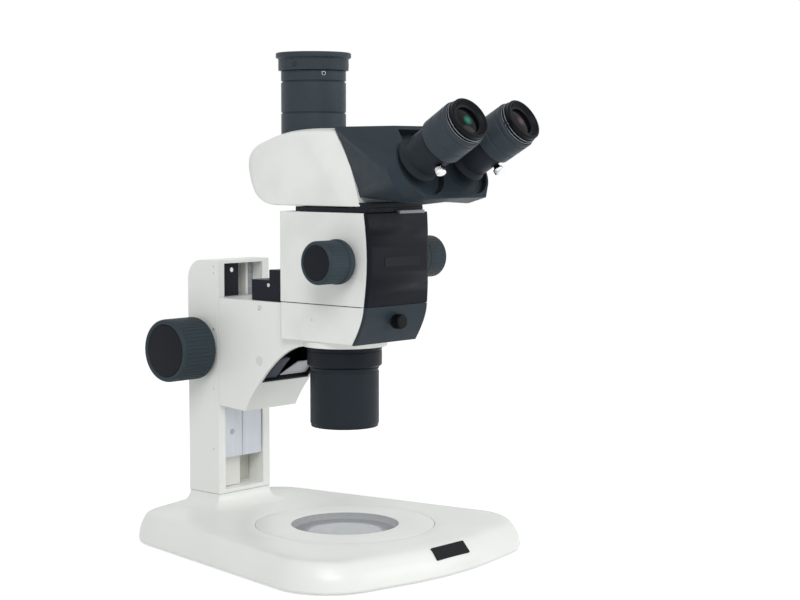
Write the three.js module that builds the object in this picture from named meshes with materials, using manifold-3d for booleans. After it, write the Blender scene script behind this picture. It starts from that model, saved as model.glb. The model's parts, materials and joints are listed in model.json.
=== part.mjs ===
// Stereo microscope on a transmitted-light stand, in millimetres, +Z up.
// The user sits at -Y and looks into the eyepieces; +X is the user's right hand.
// Inside the model group the optical axis is X = 0, Y = 0 and the table is Z = 0.
import * as THREE from 'three';
import { mergeVertices } from 'three/addons/utils/BufferGeometryUtils.js';
import Module from 'manifold-3d';

const wasm = await Module();
wasm.setup();

// ---------------------------------------------------------------- driving dimensions
const GAP = 0.3; // clearance between pieces that touch
const RUN = 0.3; // clearance round a turning or sliding piece
const WALL = 3; // moulded wall of the covers

// base
const FOOT_HEIGHT = 1.9;
const FOOT_RADIUS = 11;
const BASE_LIFT = 2; // lower edge of the casting above the table
const STAGE_Z = 26.6; // stage plane
const BASE_FRONT = -136;
const BASE_FRONT_CORNER = -107;
const BASE_FRONT_HALF = 147;
const BASE_REAR = 206;
const BASE_REAR_CORNER = 183;
const BASE_REAR_HALF = 97;
const BASE_FRONT_ROUND = 55;
const BASE_REAR_ROUND = 48;
const BASE_TIP_ROUND = 280;
const BASE_WALL = 9;
const BASE_ROOF = 9.6;
const SHEET = 1.6;
const STAGE_RING_RADIUS = 80;
const STAGE_RING_DEPTH = 5.6;
const STAGE_PLATE_RADIUS = 47.5;
const STAGE_PLATE_THICKNESS = 3.1;
const LEDGE = 4;
const DIFFUSER_RADIUS = 33;
const LAMP_WALL = 4;
const INLET_RADIUS = 6;
const INLET_HOLE_RADIUS = 3.4;
const INLET_X = -48;
const INLET_Z = 12;
const DIMMER_RADIUS = 9;
const DIMMER_LENGTH = 8;
const DIMMER_Y = 62;
const DIMMER_Z = 11;
const SPINDLE_RADIUS = 3;

// column
const COLUMN_HALF = 32.4;
const COLUMN_FRONT = 129.5;
const COLUMN_REAR = 170.5;
const COLUMN_FOOT = 40;
const COLUMN_ROUND = 18;
const CHANNEL_HALF = 24;
const CHANNEL_DEPTH = 21;
const CHANNEL_CAP = 3;
const PEDESTAL_SPREAD = 14;

// focus drive
const FOCUS_Y = 155;
const FOCUS_Z = 175.5;
const FOCUS_SHAFT_RADIUS = 4;
const FOCUS_TEETH = 12;
const FOCUS_MODULE = 1;
const FOCUS_RACK_X = 9;
const FOCUS_RACK_WIDTH = 10;
const FOCUS_UP = 30; // travel of the carriage above and below its place here
const FOCUS_DOWN = 27;
const FOCUS_KNOB_RADIUS = 28.8;
const FOCUS_KNOB_LENGTH = 39.5;
const FOCUS_KNOB_FLUTES = 36;
const BUSH_RADIUS = 8;
const BUSH_FLANGE = 3;

// carriage and arm
const ARM_BOTTOM = 121.5;
const ARM_TOP = 223;
const COLUMN_TOP = ARM_TOP + FOCUS_UP + 4; // the raised arm stays below the column's cap
const ARM_REST = 186.3; // underside of the plate that carries the zoom body
const ARM_PLATE = 5.2;
const ARM_RING_RADIUS = 38;
const ARM_WALL = 3;
const LINER_WALL = 2;
const SLIDE_BOTTOM = 73;
const SLIDE_THICKNESS = 8;
const BRACKET_HALF = 29;
const BRACKET_REAR = 88;
const BRACKET_STEP = 65.5;
const BRACKET_LOW = 242;
const BRACKET_HIGH = 251.5;

// zoom body
const BODY_HALF = 39;
const BODY_REAR = 42.3;
const BODY_FRONT = -63; // front face at the seam
const BODY_SEAM = 225;
const BODY_TOP = 304.5;
const PANEL = 3.5;
const CHANNEL_SPACING = 12; // half the distance between the two light paths
const LENS_RADIUS = 8;
const ZOOM_Y = -37.6;
const ZOOM_Z = 263.4;
const ZOOM_SHAFT_RADIUS = 3;
const ZOOM_TEETH = 10;
const ZOOM_MODULE = 1;
const ZOOM_TRAVEL = 11;
const ZOOM_KNOB_RADIUS = 18.5;
const ZOOM_KNOB_IN = 43;
const ZOOM_KNOB_OUT = 74.4;
const ZOOM_KNOB_FLUTES = 30;
const ZOOM_RACK_WIDTH = 8;
const POST_RADIUS = 2;
const POST_X = 30;
const IRIS_Z = 211;
const IRIS_KNOB_RADIUS = 6.5;
const IRIS_KNOB_LENGTH = 10;
const OBJECTIVE_RADIUS = 30.5;
const OBJECTIVE_BOTTOM = 114.7;
const MOUNT_RING_RADIUS = 33.2;
const MOUNT_RING_BOTTOM = 168;

// trinocular head
const HEAD_BOTTOM = 309.3;
const HEAD_TOP = 376.5;
const HEAD_HALF = 39;
const HEAD_WALL = 3;
const HEAD_REAR = 88.3;
const NOSE_HALF = 32.5; // half width of the binocular part where it meets the head
const NECK_REAR = 25;
const PHOTO_Y = 37.1;
const PHOTO_RADIUS = 28.8;
const PHOTO_BORE = 24.5;
const PHOTO_SHOULDER = 427.5;
const PHOTO_TOP = 443.5;
const FLANGE_RADIUS = 33.4;
const FLANGE_HEIGHT = 5;
const TUBE_TILT = 30; // degrees above the horizontal
const TUBE_TOE = 3.5; // outward lean of each tube, degrees
const EYE_X = 34.7;
const EYE_Y = -172.6;
const EYE_Z = 383.3;
const TUBE_RADIUS = 18;
const TUBE_BORE = 15.3;
const TUBE_TOP = 38; // distances down the tube from the eye guard's face
const CUP_DISTANCE = 71; // from the eye guard's face down to the rim plane of the cups
const CUP_X = 28;
const CUP_RADIUS = 27;
const CUP_WALL = 2;
const CUP_LENGTH = 13;
const CUP_DEPTH = 9.3;
const CUP_DROP = 6; // the tube stands this far above its swing axis
const CARRIER_THICKNESS = 4.7;
const EYEPIECE_RADIUS = 20.5;
const EYEPIECE_TOP = 9;
const EYEPIECE_INSERT = 22;
const GUARD_RADIUS = 18.3;
const SCREW_DISTANCE = 46.5;
const SCREW_TURN = 14;
const SCREW_RADIUS = 2.6;
const SCREW_HEAD_RADIUS = 4.6;

// ---------------------------------------------------------------- materials
const finish = (color, roughness, metalness = 0) =>
  new THREE.MeshStandardMaterial({ color, roughness, metalness });
const WHITE = finish(0xe6e7e2, 0.45);
const SLATE = finish(0x3d474c, 0.5);
const BLACK = finish(0x1c2126, 0.45);
const ALUMINIUM = finish(0xa9b0b6, 0.4, 0.9);
const STEEL = finish(0xc0c2c4, 0.3, 1);
const BRASS = finish(0xb79a5c, 0.35, 1);
const RUBBER = finish(0x232323, 0.85);
const GLASS = finish(0xb9c4c4, 0.1);
const FROSTED = finish(0x9aa1a6, 0.5);
const CIRCUIT = finish(0xd8d8cc, 0.6);

// ---------------------------------------------------------------- shape helpers
function solid(geometry) {
  const bare = geometry.index ? geometry.toNonIndexed() : geometry.clone();
  bare.deleteAttribute('normal');
  bare.deleteAttribute('uv');
  const merged = mergeVertices(bare, 1e-4);
  const source = new wasm.Mesh({
    numProp: 3,
    vertProperties: new Float32Array(merged.attributes.position.array),
    triVerts: new Uint32Array(merged.index.array),
  });
  return new wasm.Manifold(source);
}

function toGeometry(manifold) {
  const result = manifold.getMesh();
  const geometry = new THREE.BufferGeometry();
  geometry.setAttribute('position', new THREE.BufferAttribute(result.vertProperties, 3));
  geometry.setIndex(new THREE.BufferAttribute(result.triVerts, 1));
  return geometry;
}

function piece(parent, name, shape, material) {
  const geometry = shape.isBufferGeometry ? shape : toGeometry(shape);
  const mesh = new THREE.Mesh(geometry, material);
  mesh.name = name;
  parent.add(mesh);
  return mesh;
}

function boxGeometry(x0, x1, y0, y1, z0, z1) {
  const geometry = new THREE.BoxGeometry(x1 - x0, y1 - y0, z1 - z0);
  return geometry.translate((x0 + x1) / 2, (y0 + y1) / 2, (z0 + z1) / 2);
}

const box = (...limits) => solid(boxGeometry(...limits));

// Turned shape: profile points are [radius, height]; the lathe axis becomes +Z.
function turned(profile, segments = 32) {
  const points = profile.map(([r, z]) => new THREE.Vector2(r, z));
  return new THREE.LatheGeometry(points, segments).rotateX(Math.PI / 2);
}

const disc = (radius, z0, z1, segments) =>
  turned([[0, z0], [radius, z0], [radius, z1], [0, z1]], segments);

const ring = (inner, outer, z0, z1, segments) =>
  turned([[inner, z0], [outer, z0], [outer, z1], [inner, z1], [inner, z0]], segments);

// Turns a +Z shape so that its axis runs along +X, +Y or any direction.
const UP = new THREE.Vector3(0, 0, 1);
function aim(geometry, direction, at = [0, 0, 0]) {
  const turn = new THREE.Quaternion().setFromUnitVectors(UP, new THREE.Vector3(...direction).normalize());
  return geometry.applyQuaternion(turn).translate(...at);
}

const rodX = (radius, x0, x1, y, z, segments) =>
  solid(aim(disc(radius, x0, x1, segments), [1, 0, 0], [0, y, z]));
const rodZ = (radius, x, y, z0, z1, segments) =>
  solid(disc(radius, z0, z1, segments).translate(x, y, 0));

// Prism whose outline is given as [y, z] points and which runs along X.
function prismX(outline, x0, x1) {
  const shape = new THREE.Shape(outline.map(([y, z]) => new THREE.Vector2(y, z)));
  const geometry = new THREE.ExtrudeGeometry(shape, { depth: x1 - x0, bevelEnabled: false });
  const basis = new THREE.Matrix4().set(0, 0, 1, x0, 1, 0, 0, 0, 0, 1, 0, 0, 0, 0, 0, 1);
  return geometry.applyMatrix4(basis);
}

// Prism whose outline is given as [x, y] points and which runs along Z.
function prismZ(outline, z0, z1) {
  const shape = new THREE.Shape(outline.map(([x, y]) => new THREE.Vector2(x, y)));
  const geometry = new THREE.ExtrudeGeometry(shape, { depth: z1 - z0, bevelEnabled: false });
  return geometry.translate(0, 0, z0);
}

// Closed outline with each corner replaced by an arc: corners are [x, y, radius].
function rounded(corners, steps = 6) {
  const points = [];
  corners.forEach(([x, y, radius], i) => {
    const here = new THREE.Vector2(x, y);
    const before = corners[(i + corners.length - 1) % corners.length];
    const after = corners[(i + 1) % corners.length];
    const a = new THREE.Vector2(before[0] - x, before[1] - y).normalize();
    const b = new THREE.Vector2(after[0] - x, after[1] - y).normalize();
    const half = Math.acos(THREE.MathUtils.clamp(a.dot(b), -1, 1)) / 2;
    if (radius === 0 || half > Math.PI / 2 - 1e-3) {
      points.push([x, y]);
      return;
    }
    const reach = radius / Math.tan(half);
    const centre = here.clone().addScaledVector(a.clone().add(b).normalize(), radius / Math.sin(half));
    const start = here.clone().addScaledVector(a, reach).sub(centre);
    const end = here.clone().addScaledVector(b, reach).sub(centre);
    const sweep = Math.atan2(start.cross(end), start.dot(end));
    for (let k = 0; k <= steps; k += 1) {
      const p = start.clone().rotateAround(new THREE.Vector2(), (sweep * k) / steps).add(centre);
      points.push([p.x, p.y]);
    }
  });
  return points;
}

// Outline moved inwards by depth(normal) at each point; the outline runs anticlockwise.
function inset(outline, depth) {
  return outline.map(([x, y], i) => {
    const [x0, y0] = outline[(i + outline.length - 1) % outline.length];
    const [x1, y1] = outline[(i + 1) % outline.length];
    const normal = new THREE.Vector2(y1 - y0, x0 - x1).normalize();
    const d = typeof depth === 'function' ? depth(normal) : depth;
    return [x - normal.x * d, y - normal.y * d];
  });
}

// Solid through a stack of outlines with equal numbers of points: levels are [z, outline].
function loft(levels) {
  const count = levels[0][1].length;
  const positions = [];
  for (const [z, outline] of levels) for (const [x, y] of outline) positions.push(x, y, z);
  const index = [];
  for (let level = 0; level + 1 < levels.length; level += 1) {
    for (let i = 0; i < count; i += 1) {
      const a = level * count + i;
      const b = level * count + ((i + 1) % count);
      index.push(a, b, b + count, a, b + count, a + count);
    }
  }
  const flat = (outline) => outline.map(([x, y]) => new THREE.Vector2(x, y));
  const top = (levels.length - 1) * count;
  for (const [a, b, c] of THREE.ShapeUtils.triangulateShape(flat(levels[0][1]), [])) index.push(a, c, b);
  for (const [a, b, c] of THREE.ShapeUtils.triangulateShape(flat(levels.at(-1)[1]), [])) {
    index.push(top + a, top + b, top + c);
  }
  const geometry = new THREE.BufferGeometry();
  geometry.setAttribute('position', new THREE.Float32BufferAttribute(positions, 3));
  geometry.setIndex(index);
  return geometry;
}

// Outline of a wheel with straight-flanked teeth, as [x, y] points; one tooth points to +Y.
function gearOutline(teeth, module) {
  const pitch = (teeth * module) / 2;
  const points = [];
  for (let i = 0; i < teeth; i += 1) {
    const corners = [[-0.36, pitch - 1.15 * module], [-0.14, pitch + 0.85 * module]];
    corners.push([0.14, pitch + 0.85 * module], [0.36, pitch - 1.15 * module]);
    for (const [share, radius] of corners) {
      const angle = ((i + share) / teeth + 0.25) * 2 * Math.PI;
      points.push([radius * Math.cos(angle), radius * Math.sin(angle)]);
    }
  }
  return points;
}

// Rack outline along Z as [y, z]: side is +1 where the teeth point to +Y.
// A tooth gap is centred at height meshZ, where the wheel's tooth enters.
function rackOutline(pitchY, backY, z0, z1, meshZ, module, side) {
  const step = Math.PI * module;
  const points = [[backY, z0]];
  const first = Math.ceil((z0 - meshZ) / step) + 0.5;
  points.push([pitchY - side * 1.2 * module, z0]);
  for (let k = first; meshZ + (k + 0.5) * step <= z1; k += 1) {
    const z = meshZ + k * step;
    points.push([pitchY - side * 1.2 * module, z - 0.33 * step]);
    points.push([pitchY + side * 0.8 * module, z - 0.13 * step]);
    points.push([pitchY + side * 0.8 * module, z + 0.13 * step]);
    points.push([pitchY - side * 1.2 * module, z + 0.33 * step]);
  }
  points.push([pitchY - side * 1.2 * module, z1], [backY, z1]);
  return side > 0 ? points : points.reverse();
}

// Grip with shallow flutes: outline of a knob in its own plane.
function flutedOutline(radius, flutes, depth) {
  const points = [];
  for (let i = 0; i < flutes * 2; i += 1) {
    const angle = (i / (flutes * 2)) * 2 * Math.PI;
    const r = i % 2 ? radius - depth : radius;
    points.push([r * Math.cos(angle), r * Math.sin(angle)]);
  }
  return points;
}

const microscope = new THREE.Group();
microscope.name = 'stereo_microscope';
const model = new THREE.Group();
microscope.add(model);

// ---------------------------------------------------------------- base
const baseOutline = rounded([
  [0, BASE_FRONT, BASE_TIP_ROUND],
  [BASE_FRONT_HALF, BASE_FRONT_CORNER, BASE_FRONT_ROUND],
  [BASE_REAR_HALF, BASE_REAR_CORNER, BASE_REAR_ROUND],
  [0, BASE_REAR, BASE_TIP_ROUND / 2],
  [-BASE_REAR_HALF, BASE_REAR_CORNER, BASE_REAR_ROUND],
  [-BASE_FRONT_HALF, BASE_FRONT_CORNER, BASE_FRONT_ROUND],
]);

// Edge section of the base as [height above its lower edge, inset at the front].
const BASE_EDGE = [[0, 1.2], [1.4, 0], [12, 2.2], [21.4, 10], [23.4, 13.5], [STAGE_Z - BASE_LIFT, 19]];
const BASE_SIDE_SHARE = 0.6; // the edge is this much narrower at the sides and the rear

function baseBody() {
  const share = (normal) => BASE_SIDE_SHARE + (1 - BASE_SIDE_SHARE) * Math.max(0, -normal.y);
  const level = ([z, depth]) => [BASE_LIFT + z, inset(baseOutline, (normal) => depth * share(normal))];
  return solid(loft(BASE_EDGE.map(level)));
}

const COLUMN_Y = (COLUMN_FRONT + COLUMN_REAR) / 2;
const COLUMN_DEPTH = (COLUMN_REAR - COLUMN_FRONT) / 2;
const footprint = (spread, radius) => {
  const x = COLUMN_HALF + spread;
  const y = COLUMN_DEPTH + spread;
  const corners = [[-x, COLUMN_Y - y], [x, COLUMN_Y - y], [x, COLUMN_Y + y], [-x, COLUMN_Y + y]];
  return rounded(corners.map(([cx, cy]) => [cx, cy, radius]), 4);
};

function pedestal() {
  const rise = COLUMN_FOOT - STAGE_Z;
  const levels = [[0, 1], [0.12, 0.6], [0.3, 0.3], [0.6, 0.1], [1, 0.04]];
  return solid(loft([
    [STAGE_Z - 2, footprint(PEDESTAL_SPREAD, 12)],
    ...levels.map(([t, s]) => [STAGE_Z + rise * t, footprint(PEDESTAL_SPREAD * s, 4 + 8 * s)]),
  ]));
}

const dimmerFace = () => {
  const slope = (BASE_FRONT_HALF - BASE_REAR_HALF) / (BASE_REAR_CORNER - BASE_FRONT_CORNER);
  const x = BASE_REAR_HALF + (BASE_REAR_CORNER - DIMMER_Y) * slope;
  const normal = new THREE.Vector3(1, slope, 0).normalize();
  return { point: new THREE.Vector3(x, DIMMER_Y, DIMMER_Z), normal };
};

const inletFace = () => {
  const slope = (BASE_REAR - BASE_REAR_CORNER) / BASE_REAR_HALF;
  return BASE_REAR - slope * Math.abs(INLET_X) - 2;
};

function buildBase() {
  const group = new THREE.Group();
  const cavity = inset(baseOutline, BASE_WALL);
  const dimmer = dimmerFace();
  const axis = dimmer.normal.toArray();
  let casting = baseBody().add(pedestal());
  casting = casting.subtract(solid(prismZ(cavity, BASE_LIFT - 1, STAGE_Z - BASE_ROOF)));
  casting = casting.subtract(rodZ(STAGE_RING_RADIUS, 0, 0, STAGE_Z - STAGE_RING_DEPTH, STAGE_Z + 1, 48));
  casting = casting.subtract(rodZ(STAGE_RING_RADIUS - 8, 0, 0, BASE_LIFT, STAGE_Z, 48));
  const spindleHole = aim(disc(SPINDLE_RADIUS + RUN, -20, 5, 12), axis, dimmer.point.toArray());
  casting = casting.subtract(solid(spindleHole));
  const inletY = inletFace();
  const inletAxis = [0, 1, 0];
  const inletHole = aim(disc(INLET_RADIUS + GAP, -16, 8, 16), inletAxis, [INLET_X, inletY, INLET_Z]);
  casting = casting.subtract(solid(inletHole));
  piece(group, 'base_casting', casting, WHITE);

  const coverOutline = inset(baseOutline, BASE_WALL + GAP);
  const coverTop = FOOT_HEIGHT + GAP + SHEET;
  piece(group, 'base_bottom_cover', solid(prismZ(coverOutline, coverTop - SHEET, coverTop)), STEEL);
  const reach = BASE_WALL + FOOT_RADIUS + 14;
  const frontX = BASE_FRONT_HALF - BASE_FRONT_ROUND;
  const feet = [[-frontX, BASE_FRONT_CORNER + reach / 2], [frontX, BASE_FRONT_CORNER + reach / 2]];
  const rearFootX = BASE_REAR_HALF - reach;
  feet.push([rearFootX, BASE_REAR_CORNER - reach], [-rearFootX, BASE_REAR_CORNER - reach]);
  feet.forEach(([x, y], i) => {
    piece(group, `rubber_foot_${i + 1}`, rodZ(FOOT_RADIUS, x, y, 0, FOOT_HEIGHT, 20), RUBBER);
  });

  const ringFloor = STAGE_Z - STAGE_RING_DEPTH + GAP;
  const glassFloor = STAGE_Z - STAGE_PLATE_THICKNESS - GAP;
  const inner = STAGE_PLATE_RADIUS + GAP;
  const outer = STAGE_RING_RADIUS - GAP;
  const ringProfile = [[inner - LEDGE, ringFloor], [outer, ringFloor], [outer, STAGE_Z]];
  ringProfile.push([inner, STAGE_Z], [inner, glassFloor], [inner - LEDGE, glassFloor]);
  ringProfile.push(ringProfile[0]);
  piece(group, 'stage_ring', solid(turned(ringProfile, 48)), WHITE);
  piece(group, 'stage_glass', rodZ(STAGE_PLATE_RADIUS, 0, 0, glassFloor + GAP, STAGE_Z, 40), FROSTED);

  const lampTop = STAGE_Z - STAGE_RING_DEPTH - 1;
  const lampFloor = coverTop + GAP;
  const cup = rodZ(DIFFUSER_RADIUS + LAMP_WALL, 0, 0, lampFloor, lampTop, 32)
    .subtract(rodZ(DIFFUSER_RADIUS + GAP, 0, 0, lampTop - 2 - GAP, lampTop + 1, 32))
    .subtract(rodZ(DIFFUSER_RADIUS - 3, 0, 0, lampFloor + 5, lampTop, 32));
  piece(group, 'lamp_module', cup, ALUMINIUM);
  piece(group, 'lamp_diffuser', rodZ(DIFFUSER_RADIUS, 0, 0, lampTop - 2, lampTop, 32), CIRCUIT);

  const socket = solid(aim(disc(INLET_RADIUS, -14, 1, 16), inletAxis, [INLET_X, inletY, INLET_Z]))
    .subtract(solid(aim(disc(INLET_HOLE_RADIUS, -10, 3, 16), inletAxis, [INLET_X, inletY, INLET_Z])));
  piece(group, 'power_inlet', socket, BLACK);

  const at = dimmer.point.toArray();
  const knob = aim(prismZ(flutedOutline(DIMMER_RADIUS, 24, 0.5), GAP, DIMMER_LENGTH), axis, at);
  const spindle = aim(disc(SPINDLE_RADIUS, -16, 2, 12), axis, at);
  piece(group, 'brightness_knob', solid(knob).add(solid(spindle)), BLACK);
  return group;
}

// ---------------------------------------------------------------- column
const CHANNEL_FLOOR = COLUMN_FRONT + CHANNEL_DEPTH;
const BUSH_INNER = CHANNEL_HALF + 0.4; // where the bush seats end, just outside the channel
const PINION_TIP = (FOCUS_TEETH * FOCUS_MODULE) / 2 + FOCUS_MODULE;
const RACK_PITCH_Y = FOCUS_Y - (FOCUS_TEETH * FOCUS_MODULE) / 2;
const SLIDE_FRONT = COLUMN_FRONT + 1.5;
const SLIDE_REAR = SLIDE_FRONT + SLIDE_THICKNESS;
const GUIDE_SPLIT = FOCUS_RACK_X - FOCUS_RACK_WIDTH / 2 - 0.8;

function buildColumn() {
  const group = new THREE.Group();
  const side = rounded([
    [COLUMN_FRONT, COLUMN_FOOT + GAP, 0],
    [COLUMN_REAR, COLUMN_FOOT + GAP, 0],
    [COLUMN_REAR, COLUMN_TOP, COLUMN_ROUND],
    [COLUMN_FRONT, COLUMN_TOP, 0],
  ], 8);
  const channelBottom = COLUMN_FOOT + 4;
  const channelTop = COLUMN_TOP - CHANNEL_CAP;
  const pocket = PINION_TIP + 1;
  const column = solid(prismX(side, -COLUMN_HALF, COLUMN_HALF))
    .subtract(box(-CHANNEL_HALF, CHANNEL_HALF, COLUMN_FRONT - 1, CHANNEL_FLOOR, channelBottom, channelTop))
    .subtract(box(
      FOCUS_RACK_X - FOCUS_RACK_WIDTH / 2 - 1.5, FOCUS_RACK_X + FOCUS_RACK_WIDTH / 2 + 1.5,
      CHANNEL_FLOOR - 1, FOCUS_Y + pocket, FOCUS_Z - pocket, FOCUS_Z + pocket,
    ))
    .subtract(rodX(FOCUS_SHAFT_RADIUS + RUN, -COLUMN_HALF - 1, COLUMN_HALF + 1, FOCUS_Y, FOCUS_Z, 20))
    .subtract(rodX(BUSH_RADIUS + GAP, BUSH_INNER, COLUMN_HALF + 1, FOCUS_Y, FOCUS_Z, 20))
    .subtract(rodX(BUSH_RADIUS + GAP, -COLUMN_HALF - 1, -BUSH_INNER, FOCUS_Y, FOCUS_Z, 20));
  piece(group, 'column', column, WHITE);

  const guideFront = SLIDE_REAR + RUN;
  const stopBottom = ARM_TOP - 22;
  const guide = box(
    -CHANNEL_HALF + GAP, GUIDE_SPLIT, guideFront, CHANNEL_FLOOR - GAP,
    channelBottom + GAP, stopBottom - GAP,
  );
  piece(group, 'column_guide', guide, WHITE);
  const stop = box(
    -CHANNEL_HALF + GAP, GUIDE_SPLIT, guideFront, CHANNEL_FLOOR - GAP, stopBottom, channelTop - GAP,
  );
  piece(group, 'upper_stop_block', stop, BLACK);

  const bushEnd = BUSH_INNER + GAP - COLUMN_HALF;
  for (const [name, sign] of [['left', -1], ['right', 1]]) {
    const bush = turned([
      [FOCUS_SHAFT_RADIUS + RUN, bushEnd],
      [BUSH_RADIUS, bushEnd],
      [BUSH_RADIUS, GAP],
      [BUSH_RADIUS + 8, GAP],
      [BUSH_RADIUS + 8, BUSH_FLANGE],
      [FOCUS_SHAFT_RADIUS + RUN, BUSH_FLANGE],
      [FOCUS_SHAFT_RADIUS + RUN, bushEnd],
    ], 20);
    const placed = aim(bush, [sign, 0, 0], [sign * COLUMN_HALF, FOCUS_Y, FOCUS_Z]);
    piece(group, `focus_bush_${name}`, solid(placed), BRASS);
  }
  return group;
}

// ---------------------------------------------------------------- focus drive
function buildFocusShaft() {
  const group = new THREE.Group();
  const inner = COLUMN_HALF + BUSH_FLANGE + GAP;
  const outer = inner + FOCUS_KNOB_LENGTH;
  const rack0 = FOCUS_RACK_X - FOCUS_RACK_WIDTH / 2;
  const outline = gearOutline(FOCUS_TEETH, FOCUS_MODULE);
  const pinion = aim(prismZ(outline, rack0, rack0 + FOCUS_RACK_WIDTH), [1, 0, 0], [0, FOCUS_Y, FOCUS_Z]);
  const shaft = rodX(FOCUS_SHAFT_RADIUS, -outer + 8, outer - 8, FOCUS_Y, FOCUS_Z, 20).add(solid(pinion));
  piece(group, 'focus_shaft', shaft, STEEL);
  for (const [name, sign] of [['left', -1], ['right', 1]]) {
    const grip = flutedOutline(FOCUS_KNOB_RADIUS, FOCUS_KNOB_FLUTES, 0.7);
    const knob = solid(prismZ(grip, 0, FOCUS_KNOB_LENGTH - 2))
      .add(solid(turned([
        [0, 1],
        [FOCUS_KNOB_RADIUS - 1.5, 1],
        [FOCUS_KNOB_RADIUS - 1.5, FOCUS_KNOB_LENGTH - 1],
        [FOCUS_KNOB_RADIUS - 3, FOCUS_KNOB_LENGTH],
        [0, FOCUS_KNOB_LENGTH],
      ], 32)))
      .subtract(solid(disc(FOCUS_SHAFT_RADIUS + GAP, -1, FOCUS_KNOB_LENGTH - 8 + GAP, 20)))
      .subtract(solid(disc(FOCUS_KNOB_RADIUS - 4, FOCUS_KNOB_LENGTH - 3, FOCUS_KNOB_LENGTH + 1, 32)));
    const placed = toGeometry(knob);
    piece(group, `focus_knob_${name}`, aim(placed, [sign, 0, 0], [sign * inner, FOCUS_Y, FOCUS_Z]), SLATE);
  }
  return group;
}

// ---------------------------------------------------------------- carriage and arm
// Underside of the arm: from the foot of the carriage it sweeps forward and up to the rest.
const ARCH_FOOT_Y = 94.5;
const ARCH_TOP_Y = 6;
const archPoint = (t) => [
  THREE.MathUtils.lerp(ARCH_FOOT_Y, ARCH_TOP_Y, t),
  ARM_BOTTOM + (ARM_REST - ARM_BOTTOM) * Math.sin((Math.PI / 2) * Math.min(1, t * 1.12)) ** 0.88,
];
const archStretch = (t0, t1, steps) =>
  Array.from({ length: steps + 1 }, (_, i) => archPoint(t0 + ((t1 - t0) * i) / steps));
const CARRIAGE_REAR = COLUMN_FRONT - 2 * GAP;

// Side outline of the hollow that opens in the underside of the arch.
const TROUGH = [
  ...archStretch(0.21, 0.7, 8).map(([y, z]) => [y - 4, z - 4]).reverse(),
  [88, 166],
  [68, 199],
  [38, ARM_TOP - 3 * ARM_WALL],
];

function buildCarriage() {
  const group = new THREE.Group();
  const bodyRear = BODY_REAR + GAP;
  const cheek = COLUMN_HALF - ARM_WALL;
  const outline = [
    [CARRIAGE_REAR, ARM_BOTTOM + 2.5],
    ...archStretch(0, 1, 14),
    [ARCH_TOP_Y, ARM_REST + ARM_PLATE],
    [bodyRear, ARM_REST + ARM_PLATE],
    [bodyRear, ARM_TOP],
    [CARRIAGE_REAR, ARM_TOP],
  ];
  const block = solid(prismX(outline.reverse(), -COLUMN_HALF, COLUMN_HALF));
  const housing = block
    .add(rodZ(ARM_RING_RADIUS, 0, 0, ARM_REST, ARM_REST + ARM_PLATE, 40))
    .subtract(rodZ(OBJECTIVE_RADIUS - 5, 0, 0, ARM_REST - 1, ARM_REST + ARM_PLATE + 1, 32))
    .subtract(box(-cheek, cheek, ARCH_TOP_Y + 6, 50, MOUNT_RING_BOTTOM, ARM_REST))
    .subtract(solid(prismX(TROUGH, -cheek, cheek)));
  piece(group, 'carriage_arm', housing, WHITE);

  const linerHalf = cheek - GAP;
  const linerRoom = inset(TROUGH, GAP + LINER_WALL);
  const hollow = solid(prismX(linerRoom, LINER_WALL - linerHalf, linerHalf - LINER_WALL));
  const liner = solid(prismX(inset(TROUGH, GAP), -linerHalf, linerHalf))
    .intersect(block)
    .subtract(hollow)
    .subtract(hollow.translate([0, -4, -4]));
  piece(group, 'arm_liner', liner, BLACK);

  const bracket = box(-BRACKET_HALF, BRACKET_HALF, bodyRear, BRACKET_REAR, ARM_TOP + GAP, BRACKET_LOW)
    .add(box(-BRACKET_HALF, BRACKET_HALF, bodyRear, BRACKET_STEP, BRACKET_LOW - 1, BRACKET_HIGH));
  piece(group, 'mounting_bracket', bracket, BLACK);

  const slideHalf = CHANNEL_HALF - RUN - 0.7;
  const slide = box(-slideHalf, slideHalf, SLIDE_FRONT, SLIDE_REAR, SLIDE_BOTTOM, ARM_TOP)
    .subtract(box(-2, -1, SLIDE_FRONT - 1, SLIDE_FRONT + 1, SLIDE_BOTTOM - 1, ARM_TOP + 1))
    .add(box(-slideHalf + 3, slideHalf - 3, CARRIAGE_REAR + GAP, SLIDE_FRONT + 1, ARM_BOTTOM + 6, ARM_TOP));
  piece(group, 'focus_slide', slide, ALUMINIUM);

  const rack0 = FOCUS_RACK_X - FOCUS_RACK_WIDTH / 2 + GAP;
  const rackLow = FOCUS_Z - FOCUS_UP - 6;
  const rackHigh = FOCUS_Z + FOCUS_DOWN + 6;
  const rackOutlineYZ = rackOutline(
    RACK_PITCH_Y, SLIDE_REAR + GAP, rackLow, rackHigh, FOCUS_Z, FOCUS_MODULE, 1,
  );
  const rack = prismX(rackOutlineYZ, rack0, rack0 + FOCUS_RACK_WIDTH - 2 * GAP);
  piece(group, 'focus_rack', solid(rack), STEEL);
  return group;
}

// ---------------------------------------------------------------- zoom body
// The front face bows out above the seam and draws back below it.
function bodyFront(z) {
  if (z >= BODY_SEAM) {
    const t = (z - (BODY_SEAM + BODY_TOP) / 2) / ((BODY_TOP - BODY_SEAM) / 2);
    return BODY_FRONT - 3.3 * (1 - t * t);
  }
  return BODY_FRONT + 14 * ((BODY_SEAM - z) / (BODY_SEAM - ARM_REST - ARM_PLATE)) ** 1.6;
}

const frontStretch = (z0, z1, offset, steps = 8) =>
  Array.from({ length: steps + 1 }, (_, i) => {
    const z = z0 + ((z1 - z0) * i) / steps;
    return [bodyFront(z) + offset, z];
  });

const bodyPlan = (shrink) => {
  const x = BODY_HALF - shrink;
  const rear = BODY_REAR - shrink;
  const front = -70;
  return rounded([[-x, front, 0], [x, front, 0], [x, rear, 3], [-x, rear, 3]], 4);
};

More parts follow.
